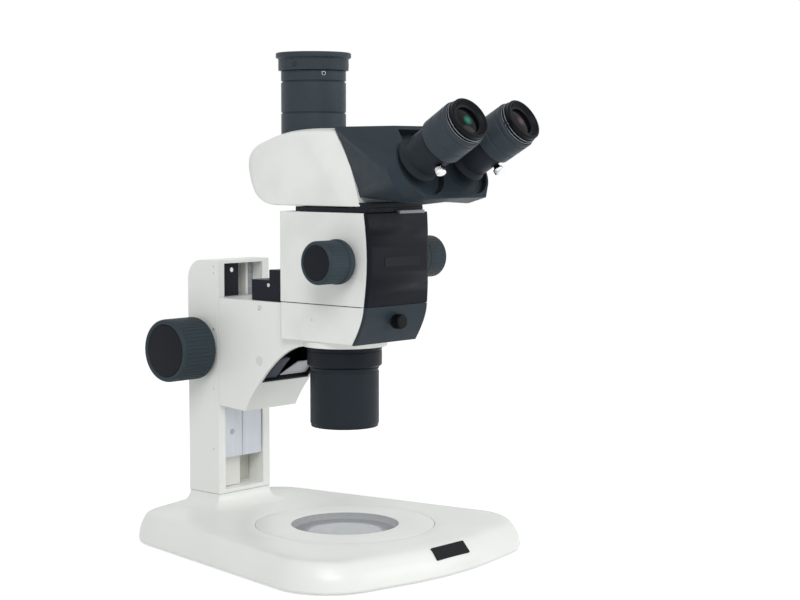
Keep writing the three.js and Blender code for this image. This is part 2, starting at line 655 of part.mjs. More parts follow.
function bodySlice(z0, z1, shrink, frontOffset) {
  const side = [...frontStretch(z0, z1, frontOffset), [BODY_REAR - shrink, z1], [BODY_REAR - shrink, z0]];
  const x = BODY_HALF - shrink;
  return solid(prismX(side.reverse(), -x, x)).intersect(solid(prismZ(bodyPlan(shrink), z0 - 1, z1 + 1)));
}

function frontPanel(z0, z1) {
  const side = [...frontStretch(z0, z1, 0), ...frontStretch(z0, z1, PANEL).reverse()];
  const slab = solid(prismX(side.reverse(), -BODY_HALF, BODY_HALF));
  const x = BODY_HALF;
  const y = bodyFront(BODY_SEAM + 40);
  const plan = rounded([[-x, y, 5], [x, y, 5], [x, 0, 0], [-x, 0, 0]], 4);
  return slab.intersect(solid(prismZ(plan, z0 - 1, z1 + 1)));
}

function lensCarriage(z, rackX, side) {
  const half = BODY_HALF - WALL - 1.5;
  const plateFront = -24;
  const thickness = 5;
  const pitch = (ZOOM_TEETH * ZOOM_MODULE) / 2;
  const pitchY = ZOOM_Y - side * pitch;
  const backY = pitchY - side * 5;
  let plate = box(-half, half, plateFront, 24, z, z + thickness);
  const reach = ZOOM_TRAVEL + 4;
  const z0 = Math.min(z, ZOOM_Z - reach);
  const z1 = Math.max(z + thickness, ZOOM_Z + reach);
  const x0 = rackX - ZOOM_RACK_WIDTH / 2;
  const x1 = rackX + ZOOM_RACK_WIDTH / 2;
  const rack = prismX(rackOutline(pitchY, backY, z0, z1, ZOOM_Z, ZOOM_MODULE, side), x0, x1);
  plate = plate.add(solid(rack));
  const armEnd = side > 0 ? backY : pitchY + 1.5;
  const armFront = Math.min(armEnd, plateFront + 1);
  plate = plate.add(box(x0, x1, armFront, plateFront + 1, z, z + thickness));
  for (const sign of [-1, 1]) {
    const x = sign * CHANNEL_SPACING;
    plate = plate.subtract(rodZ(LENS_RADIUS + GAP, x, 0, z - 1, z + thickness + 1, 20));
    plate = plate.subtract(rodZ(POST_RADIUS + RUN, sign * POST_X, 10, z - 1, z + thickness + 1, 12));
    plate = plate.add(solid(
      ring(LENS_RADIUS - 1.2, LENS_RADIUS + 1, z, z + 1, 20).translate(x, 0, 0),
    ));
  }
  return plate;
}

function zoomLens(sign, z, bulge) {
  const lens = turned([
    [0, -bulge],
    [5, -bulge * 0.6],
    [LENS_RADIUS, 0.6],
    [LENS_RADIUS, 2.4],
    [5, 3],
    [0, 3.2],
  ], 20);
  return lens.translate(sign * CHANNEL_SPACING, 0, z + 1 + GAP);
}

const UPPER_CARRIAGE_Z = 283;
const LOWER_CARRIAGE_Z = 240.9;
const UPPER_RACK_X = 0;
const LOWER_RACK_X = 11;

function buildZoomBody() {
  const group = new THREE.Group();
  const seamTop = BODY_SEAM + GAP / 2;
  const seamLow = BODY_SEAM - GAP / 2;
  const bodyFloor = ARM_REST + ARM_PLATE + GAP;
  const behindPanel = PANEL + GAP;
  const shaftHole = rodX(ZOOM_SHAFT_RADIUS + RUN, -BODY_HALF - 1, BODY_HALF + 1, ZOOM_Y, ZOOM_Z, 20);
  const upper = bodySlice(seamTop, BODY_TOP, 0, behindPanel)
    .subtract(bodySlice(seamTop - 1, BODY_TOP + 1, WALL, -WALL))
    .subtract(shaftHole);
  piece(group, 'upper_body_shell', upper, WHITE);
  piece(group, 'upper_front_panel', frontPanel(seamTop, BODY_TOP), BLACK);

  const lower = bodySlice(bodyFloor, seamLow, 0, behindPanel)
    .subtract(bodySlice(bodyFloor + WALL, seamLow + 1, WALL, -WALL))
    .subtract(rodZ(OBJECTIVE_RADIUS - 5, 0, 0, bodyFloor - 1, bodyFloor + WALL + 1, 32));
  piece(group, 'lower_body_shell', lower, WHITE);
  const stemHole = aim(disc(SPINDLE_RADIUS + RUN, 30, 80, 16), [0, -1, 0], [0, 0, IRIS_Z]);
  piece(group, 'lower_front_panel', frontPanel(bodyFloor, seamLow).subtract(solid(stemHole)), SLATE);

  const inner = WALL + GAP;
  const chassis = bodySlice(seamTop + GAP, BODY_TOP - GAP, inner, behindPanel + GAP)
    .subtract(box(-BODY_HALF, BODY_HALF, -80, BODY_REAR - inner - 4, seamTop + 4, BODY_TOP - 4))
    .add(rodZ(POST_RADIUS, -POST_X, 10, seamTop + 3, BODY_TOP - 3, 12))
    .add(rodZ(POST_RADIUS, POST_X, 10, seamTop + 3, BODY_TOP - 3, 12))
    .subtract(rodZ(LENS_RADIUS + 1, CHANNEL_SPACING, 0, seamTop - 1, BODY_TOP + 1, 20))
    .subtract(rodZ(LENS_RADIUS + 1, -CHANNEL_SPACING, 0, seamTop - 1, BODY_TOP + 1, 20));
  piece(group, 'zoom_chassis', chassis, ALUMINIUM);

  const stemFront = bodyFront(IRIS_Z);
  const iris = solid(aim(disc(SPINDLE_RADIUS, -12, 4, 16), [0, -1, 0], [0, stemFront, IRIS_Z]))
    .add(solid(aim(disc(IRIS_KNOB_RADIUS, 3, IRIS_KNOB_LENGTH, 24), [0, -1, 0], [0, stemFront, IRIS_Z])));
  piece(group, 'iris_knob', iris, BLACK);

  const ringTop = ARM_REST - GAP;
  const mount = ring(OBJECTIVE_RADIUS - 4, MOUNT_RING_RADIUS, MOUNT_RING_BOTTOM, ringTop, 40);
  piece(group, 'objective_mount_ring', solid(mount), BLACK);
  const neck = OBJECTIVE_RADIUS - 4 - GAP;
  const barrel = [
    [OBJECTIVE_RADIUS - 3.6, OBJECTIVE_BOTTOM],
    [OBJECTIVE_RADIUS - 0.6, OBJECTIVE_BOTTOM],
    [OBJECTIVE_RADIUS, OBJECTIVE_BOTTOM + 2],
    [OBJECTIVE_RADIUS, MOUNT_RING_BOTTOM - GAP],
    [neck, MOUNT_RING_BOTTOM - GAP],
    [neck, ringTop - 2],
    [neck - 3, ringTop - 2],
    [neck - 3, OBJECTIVE_BOTTOM + 9],
    [OBJECTIVE_RADIUS - 5, OBJECTIVE_BOTTOM + 8],
    [OBJECTIVE_RADIUS - 5, OBJECTIVE_BOTTOM + 3],
    [OBJECTIVE_RADIUS - 3.6, OBJECTIVE_BOTTOM],
  ];
  piece(group, 'objective_barrel', solid(turned(barrel, 40)), SLATE);
  const lensRadius = OBJECTIVE_RADIUS - 5 - GAP;
  const lensTop = OBJECTIVE_BOTTOM + 8 - GAP;
  const lens = [[0, lensTop - 5], [lensRadius * 0.6, lensTop - 4.4], [lensRadius, lensTop - 3]];
  lens.push([lensRadius, lensTop - 0.6], [lensRadius - 1.2, lensTop], [0, lensTop]);
  piece(group, 'objective_front_lens', solid(turned(lens, 32)), GLASS);
  return group;
}

function buildZoomDrive() {
  const group = new THREE.Group();
  const outline = gearOutline(ZOOM_TEETH, ZOOM_MODULE);
  const x0 = UPPER_RACK_X - ZOOM_RACK_WIDTH / 2 - 0.5;
  const x1 = LOWER_RACK_X + ZOOM_RACK_WIDTH / 2 + 0.5;
  const pinion = aim(prismZ(outline, x0, x1), [1, 0, 0], [0, ZOOM_Y, ZOOM_Z]);
  const end = ZOOM_KNOB_OUT - 6;
  const shaft = rodX(ZOOM_SHAFT_RADIUS, -end, end, ZOOM_Y, ZOOM_Z, 20).add(solid(pinion));
  piece(group, 'zoom_shaft', shaft, STEEL);
  const length = ZOOM_KNOB_OUT - ZOOM_KNOB_IN;
  for (const [name, sign] of [['left', -1], ['right', 1]]) {
    const knob = solid(prismZ(flutedOutline(ZOOM_KNOB_RADIUS, ZOOM_KNOB_FLUTES, 0.5), 9, length - 1.5))
      .add(solid(turned([
        [0, 0],
        [ZOOM_KNOB_RADIUS - 4, 0],
        [ZOOM_KNOB_RADIUS + 0.8, 4],
        [ZOOM_KNOB_RADIUS + 0.8, 8],
        [ZOOM_KNOB_RADIUS - 1, 9],
        [ZOOM_KNOB_RADIUS - 1, length - 1],
        [ZOOM_KNOB_RADIUS - 2, length],
        [0, length],
      ], 32)))
      .subtract(solid(disc(ZOOM_SHAFT_RADIUS + GAP, -1, length - 6 + GAP, 20)))
      .subtract(solid(disc(ZOOM_KNOB_RADIUS - 3.5, length - 1.5, length + 1, 32)));
    const placed = aim(toGeometry(knob), [sign, 0, 0], [sign * ZOOM_KNOB_IN, ZOOM_Y, ZOOM_Z]);
    piece(group, `zoom_knob_${name}`, placed, SLATE);
  }
  piece(group, 'upper_lens_carriage', lensCarriage(UPPER_CARRIAGE_Z, UPPER_RACK_X, -1), BRASS);
  piece(group, 'lower_lens_carriage', lensCarriage(LOWER_CARRIAGE_Z, LOWER_RACK_X, 1), BRASS);
  for (const [name, sign] of [['left', -1], ['right', 1]]) {
    piece(group, `upper_zoom_lens_${name}`, solid(zoomLens(sign, UPPER_CARRIAGE_Z, 0.4)), GLASS);
    piece(group, `lower_zoom_lens_${name}`, solid(zoomLens(sign, LOWER_CARRIAGE_Z, 0.4)), GLASS);
  }
  return group;
}

// ---------------------------------------------------------------- trinocular head
const NECK_HEIGHT = HEAD_BOTTOM - BODY_TOP;
const HEAD_FRONT = [[-53.4, HEAD_BOTTOM], [-46.4, 328.2], [-37.7, 349.2], [-20.4, HEAD_TOP]];
const HEAD_BACK = [[10, HEAD_TOP], [38.4, 374.2], [78, 361.8], [88, 349.8], [84.5, 331.1], [75.5, 316.2]];
const HEAD_SIDE = [...HEAD_FRONT, ...HEAD_BACK, [58, HEAD_BOTTOM]].reverse();

// Directions of the binocular part: along the swing axes towards the user, and square to them.
const tilt = THREE.MathUtils.degToRad(TUBE_TILT);
const toe = THREE.MathUtils.degToRad(TUBE_TOE);
const SWING_AXIS = new THREE.Vector3(0, -Math.cos(tilt), Math.sin(tilt));
const SWING_UP = new THREE.Vector3(0, Math.sin(tilt), Math.cos(tilt));
const tubeAxis = (sign) => {
  const level = Math.cos(tilt);
  return new THREE.Vector3(sign * Math.sin(toe) * level, -Math.cos(toe) * level, Math.sin(tilt));
};
const eyePoint = (sign) => new THREE.Vector3(sign * EYE_X, EYE_Y, EYE_Z);
const cupCentre = (sign) => {
  const centre = eyePoint(sign).addScaledVector(tubeAxis(sign), -CUP_DISTANCE);
  centre.addScaledVector(SWING_UP, -CUP_DROP);
  centre.x = sign * CUP_X;
  return centre;
};

// Shapes drawn along +Z with Z = 0 at the cup rim, or at the eye guard's face.
const inCup = (sign, geometry) => aim(geometry, SWING_AXIS.toArray(), cupCentre(sign).toArray());
const onTube = (sign, geometry) => aim(geometry, tubeAxis(sign).toArray(), eyePoint(sign).toArray());

// In front of a slanting crease the flanks of the head lean inwards.
const CREASE_TOP = new THREE.Vector3(HEAD_HALF, 10, 374.8);
const CREASE_FOOT = new THREE.Vector3(HEAD_HALF, -37.5, 315.4);
const CREASE_LEAN = 6; // how far in the flank has come at the top of the front edge
const noseTop = new THREE.Vector3(HEAD_HALF - CREASE_LEAN, HEAD_FRONT[3][0], HEAD_TOP);
const flankPlane = new THREE.Plane().setFromCoplanarPoints(CREASE_TOP, CREASE_FOOT, noseTop);
if (flankPlane.normal.x > 0) flankPlane.negate();

function headSolid(grow) {
  const side = inset(HEAD_SIDE, -grow);
  const x = HEAD_HALF + grow;
  const rear = HEAD_REAR + grow;
  const plan = rounded([[-x, -80, 0], [x, -80, 0], [x, rear, 16], [-x, rear, 16]], 5);
  const block = solid(prismZ(plan, HEAD_BOTTOM - 5, HEAD_TOP + 5));
  const offset = -flankPlane.constant - grow;
  const { x: nx, y: ny, z: nz } = flankPlane.normal;
  return solid(prismX(side, -x, x))
    .intersect(block)
    .trimByPlane([nx, ny, nz], offset)
    .trimByPlane([-nx, ny, nz], offset);
}

function housingSolid() {
  const rimAt = (z) => {
    const centre = cupCentre(1);
    return centre.y + ((z - centre.z) * Math.sin(tilt)) / Math.cos(tilt);
  };
  const top = HEAD_TOP + 1;
  const bottom = HEAD_BOTTOM + 8.5;
  const low = bottom + HEAD_WALL;
  const high = top - HEAD_WALL;
  const slant = (z) => {
    const t = (z - HEAD_BOTTOM) / (HEAD_TOP - HEAD_BOTTOM);
    return HEAD_FRONT[0][0] + t * (HEAD_FRONT[3][0] - HEAD_FRONT[0][0]);
  };
  // a sheet across the head, from z0 to z1, its front face at y0 and y1
  const sheet = (half, y0, z0, y1, z1) => solid(
    prismX([[y0 + 2, z0], [y0, z0], [y1, z1], [y1 + 2, z1]], -half, half),
  );
  const block = wasm.Manifold.hull([
    sheet(NOSE_HALF, slant(bottom), bottom, slant(top), top),
    sheet(HEAD_HALF, rimAt(bottom), bottom, rimAt(top), top),
  ]);
  const wall = HEAD_WALL;
  const room = wasm.Manifold.hull([
    sheet(NOSE_HALF - wall, slant(low) + 14, low, slant(high) + 14, high),
    sheet(HEAD_HALF - wall, rimAt(low) + CUP_LENGTH + 7, low, rimAt(high) + CUP_LENGTH + 4, high),
  ]);
  let shell = block;
  let hollow = room;
  for (const sign of [-1, 1]) {
    const cup = solid(inCup(sign, disc(CUP_RADIUS, -CUP_LENGTH, 0, 40)));
    shell = shell.add(wasm.Manifold.hull([block, cup]));
    const floor = solid(inCup(sign, disc(CUP_RADIUS - 6, -CUP_LENGTH - 1, -CUP_DEPTH - 4, 32)));
    hollow = hollow.add(wasm.Manifold.hull([room, floor]));
  }
  let housing = shell.subtract(hollow).subtract(headSolid(GAP));
  for (const sign of [-1, 1]) {
    housing = housing
      .subtract(solid(inCup(sign, disc(CUP_RADIUS - CUP_WALL, -CUP_DEPTH, 1, 40))))
      .subtract(solid(inCup(sign, disc(LENS_RADIUS + 2, -CUP_DEPTH - 8, 1, 24))));
  }
  const centre = cupCentre(0);
  const reach = (top - HEAD_WALL - centre.z) / Math.cos(tilt);
  const slot = boxGeometry(HEAD_WALL - HEAD_HALF, HEAD_HALF - HEAD_WALL, 0, reach, -CUP_DEPTH, 1);
  const basis = new THREE.Matrix4().makeBasis(new THREE.Vector3(1, 0, 0), SWING_UP, SWING_AXIS);
  const middle = new THREE.Vector3(0, cupCentre(1).y, cupCentre(1).z);
  slot.applyMatrix4(basis.setPosition(middle));
  return housing.subtract(solid(slot));
}

function buildHead() {
  const group = new THREE.Group();
  const neckBottom = BODY_TOP + GAP;
  const x = BODY_HALF - 2;
  const neckFront = BODY_FRONT + 2;
  const neckPlan = rounded([
    [-x, neckFront, 3],
    [x, neckFront, 3],
    [x, NECK_REAR, 3],
    [-x, NECK_REAR, 3],
  ], 3);
  let neck = solid(prismZ(neckPlan, neckBottom, neckBottom + NECK_HEIGHT - 2 * GAP));
  for (const sign of [-1, 1]) {
    neck = neck.subtract(rodZ(LENS_RADIUS + 1, sign * CHANNEL_SPACING, 0, BODY_TOP, HEAD_BOTTOM, 20));
  }
  piece(group, 'head_neck', neck, BLACK);

  const tubeBottom = HEAD_TOP - 20;
  const wall = HEAD_WALL;
  // the hollow runs out through the front and the underside
  const roomSide = inset(HEAD_SIDE, wall).map(([y, z]) => [
    y < -20 ? y - 4 * wall : y,
    z < 330 ? z - 3 * wall : z,
  ]);
  const roomX = HEAD_HALF - wall;
  const roomRear = HEAD_REAR - wall;
  const roomPlan = rounded([[-roomX, -90, 0], [roomX, -90, 0], [roomX, roomRear, 13], [-roomX, roomRear, 13]], 5);
  const { x: nx, y: ny, z: nz } = flankPlane.normal;
  const room = solid(prismX(roomSide, -roomX, roomX))
    .intersect(solid(prismZ(roomPlan, 250, 400)))
    .trimByPlane([nx, ny, nz], wall - flankPlane.constant)
    .trimByPlane([-nx, ny, nz], wall - flankPlane.constant);
  const shell = headSolid(0)
    .subtract(room)
    .subtract(rodZ(PHOTO_RADIUS + GAP, 0, PHOTO_Y, tubeBottom - 30, HEAD_TOP + 10, 40));
  piece(group, 'head_shell', shell, WHITE);
  piece(group, 'binocular_housing', housingSolid(), SLATE);
  const neckTop = neckBottom + NECK_HEIGHT - 2 * GAP;
  const prismFoot = neckTop + GAP;
  const prismTop = neckTop + 32;
  const prismSide = [[-18, prismFoot], [14, prismFoot], [14, prismTop], [-2, prismTop], [-18, prismTop - 16]];
  piece(group, 'beam_splitter_prism', solid(prismX(prismSide, -22, 22)), GLASS);

  const photo = turned([
    [PHOTO_BORE, tubeBottom],
    [PHOTO_RADIUS, tubeBottom],
    [PHOTO_RADIUS, HEAD_TOP + 10],
    [PHOTO_RADIUS - 0.6, HEAD_TOP + 10.4],
    [PHOTO_RADIUS, HEAD_TOP + 10.8],
    [PHOTO_RADIUS, PHOTO_SHOULDER - 5.4],
    [PHOTO_RADIUS - 0.9, PHOTO_SHOULDER - 4.8],
    [PHOTO_RADIUS, PHOTO_SHOULDER - 4.2],
    [PHOTO_RADIUS, PHOTO_SHOULDER],
    [PHOTO_BORE, PHOTO_SHOULDER],
    [PHOTO_BORE, tubeBottom],
  ], 40).translate(0, PHOTO_Y, 0);
  piece(group, 'phototube', solid(photo), SLATE);
  const collarBore = PHOTO_BORE - 4;
  const flangeZ = PHOTO_TOP - FLANGE_HEIGHT;
  const collar = turned([
    [collarBore, PHOTO_SHOULDER - 14],
    [PHOTO_BORE - GAP, PHOTO_SHOULDER - 14],
    [PHOTO_BORE - GAP, PHOTO_SHOULDER + GAP],
    [PHOTO_RADIUS + 2.4, PHOTO_SHOULDER + GAP],
    [PHOTO_RADIUS + 2.4, flangeZ],
    [FLANGE_RADIUS, flangeZ + 1.6],
    [FLANGE_RADIUS, PHOTO_TOP - 1],
    [FLANGE_RADIUS - 1, PHOTO_TOP],
    [collarBore, PHOTO_TOP],
    [collarBore, PHOTO_SHOULDER - 14],
  ], 40).translate(0, PHOTO_Y, 0);
  piece(group, 'phototube_collar', solid(collar), SLATE);
  const cap = turned([
    [0, PHOTO_TOP - 4],
    [collarBore - 3, PHOTO_TOP - 4],
    [collarBore - 3, PHOTO_TOP - 14],
    [collarBore - GAP, PHOTO_TOP - 14],
    [collarBore - GAP, PHOTO_TOP - 0.6],
    [collarBore - 2, PHOTO_TOP - 0.2],
    [0, PHOTO_TOP - 0.2],
  ], 32).translate(0, PHOTO_Y, 0);
  piece(group, 'dust_cap', solid(cap), BLACK);
  return group;
}

// ---------------------------------------------------------------- eyepiece tubes
function buildEyepiece(name, sign) {
  const group = new THREE.Group();
  const carrierTop = -CUP_DEPTH + GAP + CARRIER_THICKNESS;
  const carrier = solid(inCup(sign, disc(CUP_RADIUS - CUP_WALL - GAP, -CUP_DEPTH + GAP, carrierTop, 40)));
  const seat = -CUP_DISTANCE + carrierTop - 1;
  const axis = tubeAxis(sign);
  const across = new THREE.Vector3().crossVectors(axis, new THREE.Vector3(1, 0, 0)).normalize();
  const upward = across.z > 0 ? across : across.negate();
  const turn = THREE.MathUtils.degToRad(SCREW_TURN);
  const outward = new THREE.Vector3(sign, 0, 0).addScaledVector(axis, -sign * axis.x).normalize();
  const screwAxis = upward.clone().multiplyScalar(-Math.cos(turn)).addScaledVector(outward, Math.sin(turn));
  const screwAt = eyePoint(sign).addScaledVector(axis, -SCREW_DISTANCE);
  const onScrew = (geometry) => solid(aim(geometry, screwAxis.toArray(), screwAt.toArray()));
  const tube = solid(onTube(sign, disc(TUBE_RADIUS, seat, -TUBE_TOP, 32)))
    .add(carrier)
    .subtract(solid(onTube(sign, disc(TUBE_BORE, -TUBE_TOP - EYEPIECE_INSERT - 2, -TUBE_TOP + 1, 32))))
    .subtract(solid(onTube(sign, disc(TUBE_BORE - 4, seat - 20, -TUBE_TOP, 32))))
    .subtract(onScrew(disc(SCREW_RADIUS + RUN, TUBE_BORE - 3, TUBE_RADIUS + 3, 12)));
  piece(group, `eyepiece_tube_${name}`, tube, SLATE);

  const insert = TUBE_BORE - GAP;
  const seatZ = -TUBE_TOP + GAP;
  const barrel = turned([
    [insert - 1.6, -TUBE_TOP - EYEPIECE_INSERT],
    [insert, -TUBE_TOP - EYEPIECE_INSERT],
    [insert, seatZ],
    [EYEPIECE_RADIUS - 0.5, seatZ],
    [EYEPIECE_RADIUS, seatZ + 1],
    [EYEPIECE_RADIUS, -EYEPIECE_TOP - 1.5],
    [EYEPIECE_RADIUS - 0.8, -EYEPIECE_TOP],
    [insert - 1.6, -EYEPIECE_TOP],
    [insert - 1.6, -TUBE_TOP - EYEPIECE_INSERT],
  ], 32);
  piece(group, `eyepiece_${name}`, solid(onTube(sign, barrel)), SLATE);
  const lensRadius = 11.3;
  const guard = turned([
    [lensRadius + GAP, -EYEPIECE_TOP + GAP],
    [GUARD_RADIUS + 0.6, -EYEPIECE_TOP + GAP],
    [GUARD_RADIUS + 0.6, -EYEPIECE_TOP + 3.4],
    [GUARD_RADIUS - 0.6, -EYEPIECE_TOP + 4],
    [GUARD_RADIUS, -EYEPIECE_TOP + 4.6],
    [GUARD_RADIUS, -1],
    [GUARD_RADIUS - 1, 0],
    [GUARD_RADIUS - 2.2, 0],
    [lensRadius + 2, -3.6],
    [lensRadius + GAP, -3.8],
    [lensRadius + GAP, -EYEPIECE_TOP + GAP],
  ], 32);
  piece(group, `dioptre_ring_${name}`, solid(onTube(sign, guard)), BLACK);
  const lens = turned([
    [0, -EYEPIECE_TOP - 5],
    [lensRadius, -EYEPIECE_TOP - 4],
    [lensRadius, -5.4],
    [lensRadius * 0.6, -4.6],
    [0, -4.2],
  ], 28);
  piece(group, `eye_lens_${name}`, solid(onTube(sign, lens)), GLASS);
  const screw = onScrew(disc(SCREW_RADIUS, TUBE_BORE + GAP, TUBE_RADIUS + 2, 12))
    .add(onScrew(disc(SCREW_HEAD_RADIUS, TUBE_RADIUS + 1, TUBE_RADIUS + 8, 16)));
  piece(group, `thumb_screw_${name}`, screw, STEEL);
  return group;
}

// ---------------------------------------------------------------- assembly
const noseY = eyePoint(1).y - GUARD_RADIUS * Math.sin(tilt);
const tailY = Math.max(...baseOutline.map((point) => point[1]));
model.position.y = -(noseY + tailY) / 2;
model.add(buildBase(), buildColumn(), buildFocusShaft(), buildCarriage());
model.add(buildZoomBody(), buildZoomDrive(), buildHead());
model.add(buildEyepiece('left', -1), buildEyepiece('right', 1));

export default microscope;
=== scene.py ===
"""Stereo microscope: finishes, finer surfaces, light and camera.

+Z is up and the user sits at -Y. Each new piece is a profile turned about an axis, an outline carried
along a path, or a stack of outlines. Its points are worked out in millimetres, and to_object makes
them metres; finishes, lamps and camera are in metres.
"""
import json
import math

import bmesh
import bpy
import numpy as np
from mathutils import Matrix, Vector


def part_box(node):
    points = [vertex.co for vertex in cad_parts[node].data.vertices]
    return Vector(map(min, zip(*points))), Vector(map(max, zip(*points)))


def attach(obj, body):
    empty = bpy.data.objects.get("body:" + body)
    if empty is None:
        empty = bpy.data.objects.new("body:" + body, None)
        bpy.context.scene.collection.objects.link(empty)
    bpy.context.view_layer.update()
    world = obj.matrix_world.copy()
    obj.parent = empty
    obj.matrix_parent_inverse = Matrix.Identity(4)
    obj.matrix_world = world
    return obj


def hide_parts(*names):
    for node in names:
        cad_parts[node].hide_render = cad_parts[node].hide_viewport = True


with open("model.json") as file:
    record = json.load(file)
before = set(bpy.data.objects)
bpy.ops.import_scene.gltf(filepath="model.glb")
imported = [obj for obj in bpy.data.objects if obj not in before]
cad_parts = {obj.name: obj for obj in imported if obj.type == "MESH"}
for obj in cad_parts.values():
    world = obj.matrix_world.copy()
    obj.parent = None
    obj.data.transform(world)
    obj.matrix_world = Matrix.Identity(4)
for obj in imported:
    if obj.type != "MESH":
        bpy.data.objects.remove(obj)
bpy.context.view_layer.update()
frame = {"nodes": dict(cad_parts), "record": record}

MM = 0.001

# ---------- camera
CAMERA_PLACE = (-1.116, -1.0738, 0.3521)
CAMERA_HEADING = 41.8  # degrees from +X towards +Y
CAMERA_DROP = 4.677  # degrees below level
CAMERA_LENS = 78.88
CAMERA_SENSOR = 36.0


def make_camera():
    data = bpy.data.cameras.new("camera")
    data.lens = CAMERA_LENS
    data.sensor_width = CAMERA_SENSOR
    data.clip_start = 0.05
    camera = bpy.data.objects.new("camera", data)
    camera.location = CAMERA_PLACE
    camera.rotation_euler = (math.radians(90 - CAMERA_DROP), 0, math.radians(CAMERA_HEADING - 90))
    bpy.context.scene.collection.objects.link(camera)
    bpy.context.scene.camera = camera


make_camera()

# ---------- shader helpers
OFFWHITE = (238, 240, 235)
COVER_WHITE = (240, 242, 238)
SLATE = (48, 58, 65)
SLATE_BARREL = (35, 41, 47)
PANEL_DARK = (14, 19, 27)
SOFT_BLACK = (27, 31, 37)
DEEP_BLACK = (13, 16, 20)
DARK_BELOW = 100
DARK_GLOSS = 0.1  # mouldings and paints darker than DARK_BELOW reflect less than bare plastic


def linear(rgb):
    """sRGB bytes to linear light: c/12.92 below the toe, ((c+0.055)/1.055)^2.4 above it."""
    c = np.asarray(rgb, float) / 255
    low = c / 12.92
    high = ((c + 0.055) / 1.055) ** 2.4
    return tuple(np.where(c <= 0.04045, low, high)) + (1.0,)


class Shader:
    """A material with one Principled shader and short ways to add nodes to it."""

    def __init__(self, name, rgb, roughness, metallic=0.0):
        self.material = bpy.data.materials.new(name)
        self.material.use_nodes = True
        self.tree = self.material.node_tree
        self.shader = self.tree.nodes["Principled BSDF"]
        self.colour = linear(rgb)
        self.shader.inputs["Base Color"].default_value = self.colour
        self.shader.inputs["Roughness"].default_value = roughness
        self.shader.inputs["Metallic"].default_value = metallic
        self.roughness = roughness
        if max(rgb) < DARK_BELOW and metallic == 0:
            self.shader.inputs["Specular IOR Level"].default_value = DARK_GLOSS
        self.place = self.tree.nodes.new("ShaderNodeTexCoord").outputs["Object"]

    def node(self, kind, **values):
        made = self.tree.nodes.new("ShaderNode" + kind)
        for key, value in values.items():
            setattr(made, key, value)
        return made

    def link(self, source, target):
        self.tree.links.new(source, target)

    def stretched(self, scale):
        mapping = self.node("Mapping")
        mapping.inputs["Scale"].default_value = scale
        self.link(self.place, mapping.inputs["Vector"])
        return mapping.outputs["Vector"]

    def noise(self, scale, detail=3.0, vector=None):
        made = self.node("TexNoise")
        made.inputs["Scale"].default_value = scale
        made.inputs["Detail"].default_value = detail
        self.link(vector or self.place, made.inputs["Vector"])
        return made.outputs["Fac"]

    def ramp(self, source, low, high, start=0.0, end=1.0):
        made = self.node("MapRange")
        for key, value in zip(("From Min", "From Max", "To Min", "To Max"), (start, end, low, high)):
            made.inputs[key].default_value = value
        self.link(source, made.inputs["Value"])
        return made.outputs["Result"]

    def vary_roughness(self, source, spread):
        rough = self.ramp(source, self.roughness - spread, self.roughness + spread, 0.3, 0.7)
        self.link(rough, self.shader.inputs["Roughness"])

    def vary_colour(self, source, rgb, start=0.35, end=0.65):
        mix = self.node("Mix", data_type="RGBA")
        factor, _, _, _, _, _, first, second = list(mix.inputs)[:8]
        first.default_value, second.default_value = self.colour, linear(rgb)
        self.link(self.ramp(source, 0.0, 1.0, start, end), factor)
        self.link(mix.outputs[2], self.shader.inputs["Base Color"])

    def bump(self, source, strength, depth):
        made = self.node("Bump")
        made.inputs["Strength"].default_value = strength
        made.inputs["Distance"].default_value = depth
        self.link(source, made.inputs["Height"])
        self.link(made.outputs["Normal"], self.shader.inputs["Normal"])

    def coat(self, weight, roughness):
        self.shader.inputs["Coat Weight"].default_value = weight
        self.shader.inputs["Coat Roughness"].default_value = roughness


def shade(rgb, amount):
    return tuple(min(255, c * amount) for c in rgb)


def enamel(name, rgb):
    """Sprayed enamel: an even colour with a faint cloud in it and orange peel about 1.5 mm across."""
    made = Shader(name, rgb, 0.36)
    made.vary_colour(made.noise(14, 2), shade(rgb, 0.985))
    made.vary_roughness(made.noise(60, 3), 0.04)
    made.bump(made.noise(650, 2), 0.12, 0.00025)
    made.coat(0.15, 0.25)
    return made.material


def moulded(name, rgb, roughness=0.45, grain=2200, strength=0.22):
    """Moulded plastic: fine spark-eroded grain, slightly uneven gloss."""
    made = Shader(name, rgb, roughness)
    made.vary_colour(made.noise(25, 3), shade(rgb, 0.97))
    made.vary_roughness(made.noise(90, 2), 0.05)
    made.bump(made.noise(grain, 2), strength, 0.00012)
    return made.material


def powder_coat(name, rgb, roughness=0.48):
    """Satin paint on metal: grain about half a millimetre across with paler crests."""
    made = Shader(name, rgb, roughness)
    grain = made.noise(1500, 3)
    made.vary_colour(grain, shade(rgb, 1.12), 0.45, 0.75)
    made.vary_roughness(made.noise(200, 2), 0.05)
    made.bump(grain, 0.3, 0.00015)
    return made.material


def brushed(name, rgb, roughness, along, metallic=1.0, depth=0.86):
    """Brushed metal: noise drawn out along one axis gives the fine parallel scratches."""
    made = Shader(name, rgb, roughness, metallic)
    scratches = made.noise(1.0, 4, made.stretched(along))
    made.vary_colour(scratches, shade(rgb, depth))
    made.vary_roughness(scratches, 0.08)
    made.bump(scratches, 0.1, 0.0001)
    return made.material


def plated(name, rgb, roughness):
    """Plated metal: bright, with soft smears that only change the gloss."""
    made = Shader(name, rgb, roughness, 1.0)
    made.vary_roughness(made.noise(120, 4), 0.05)
    return made.material


def opal(name, rgb, glow):
    """Opal plastic with a painted glow: it gives back a little more light than its surface catches, though
    the lamp behind it is off.
    """
    made = Shader(name, rgb, 0.5)
    made.vary_roughness(made.noise(150, 2), 0.05)
    made.shader.inputs["Emission Color"].default_value = made.colour
    made.shader.inputs["Emission Strength"].default_value = glow
    return made.material


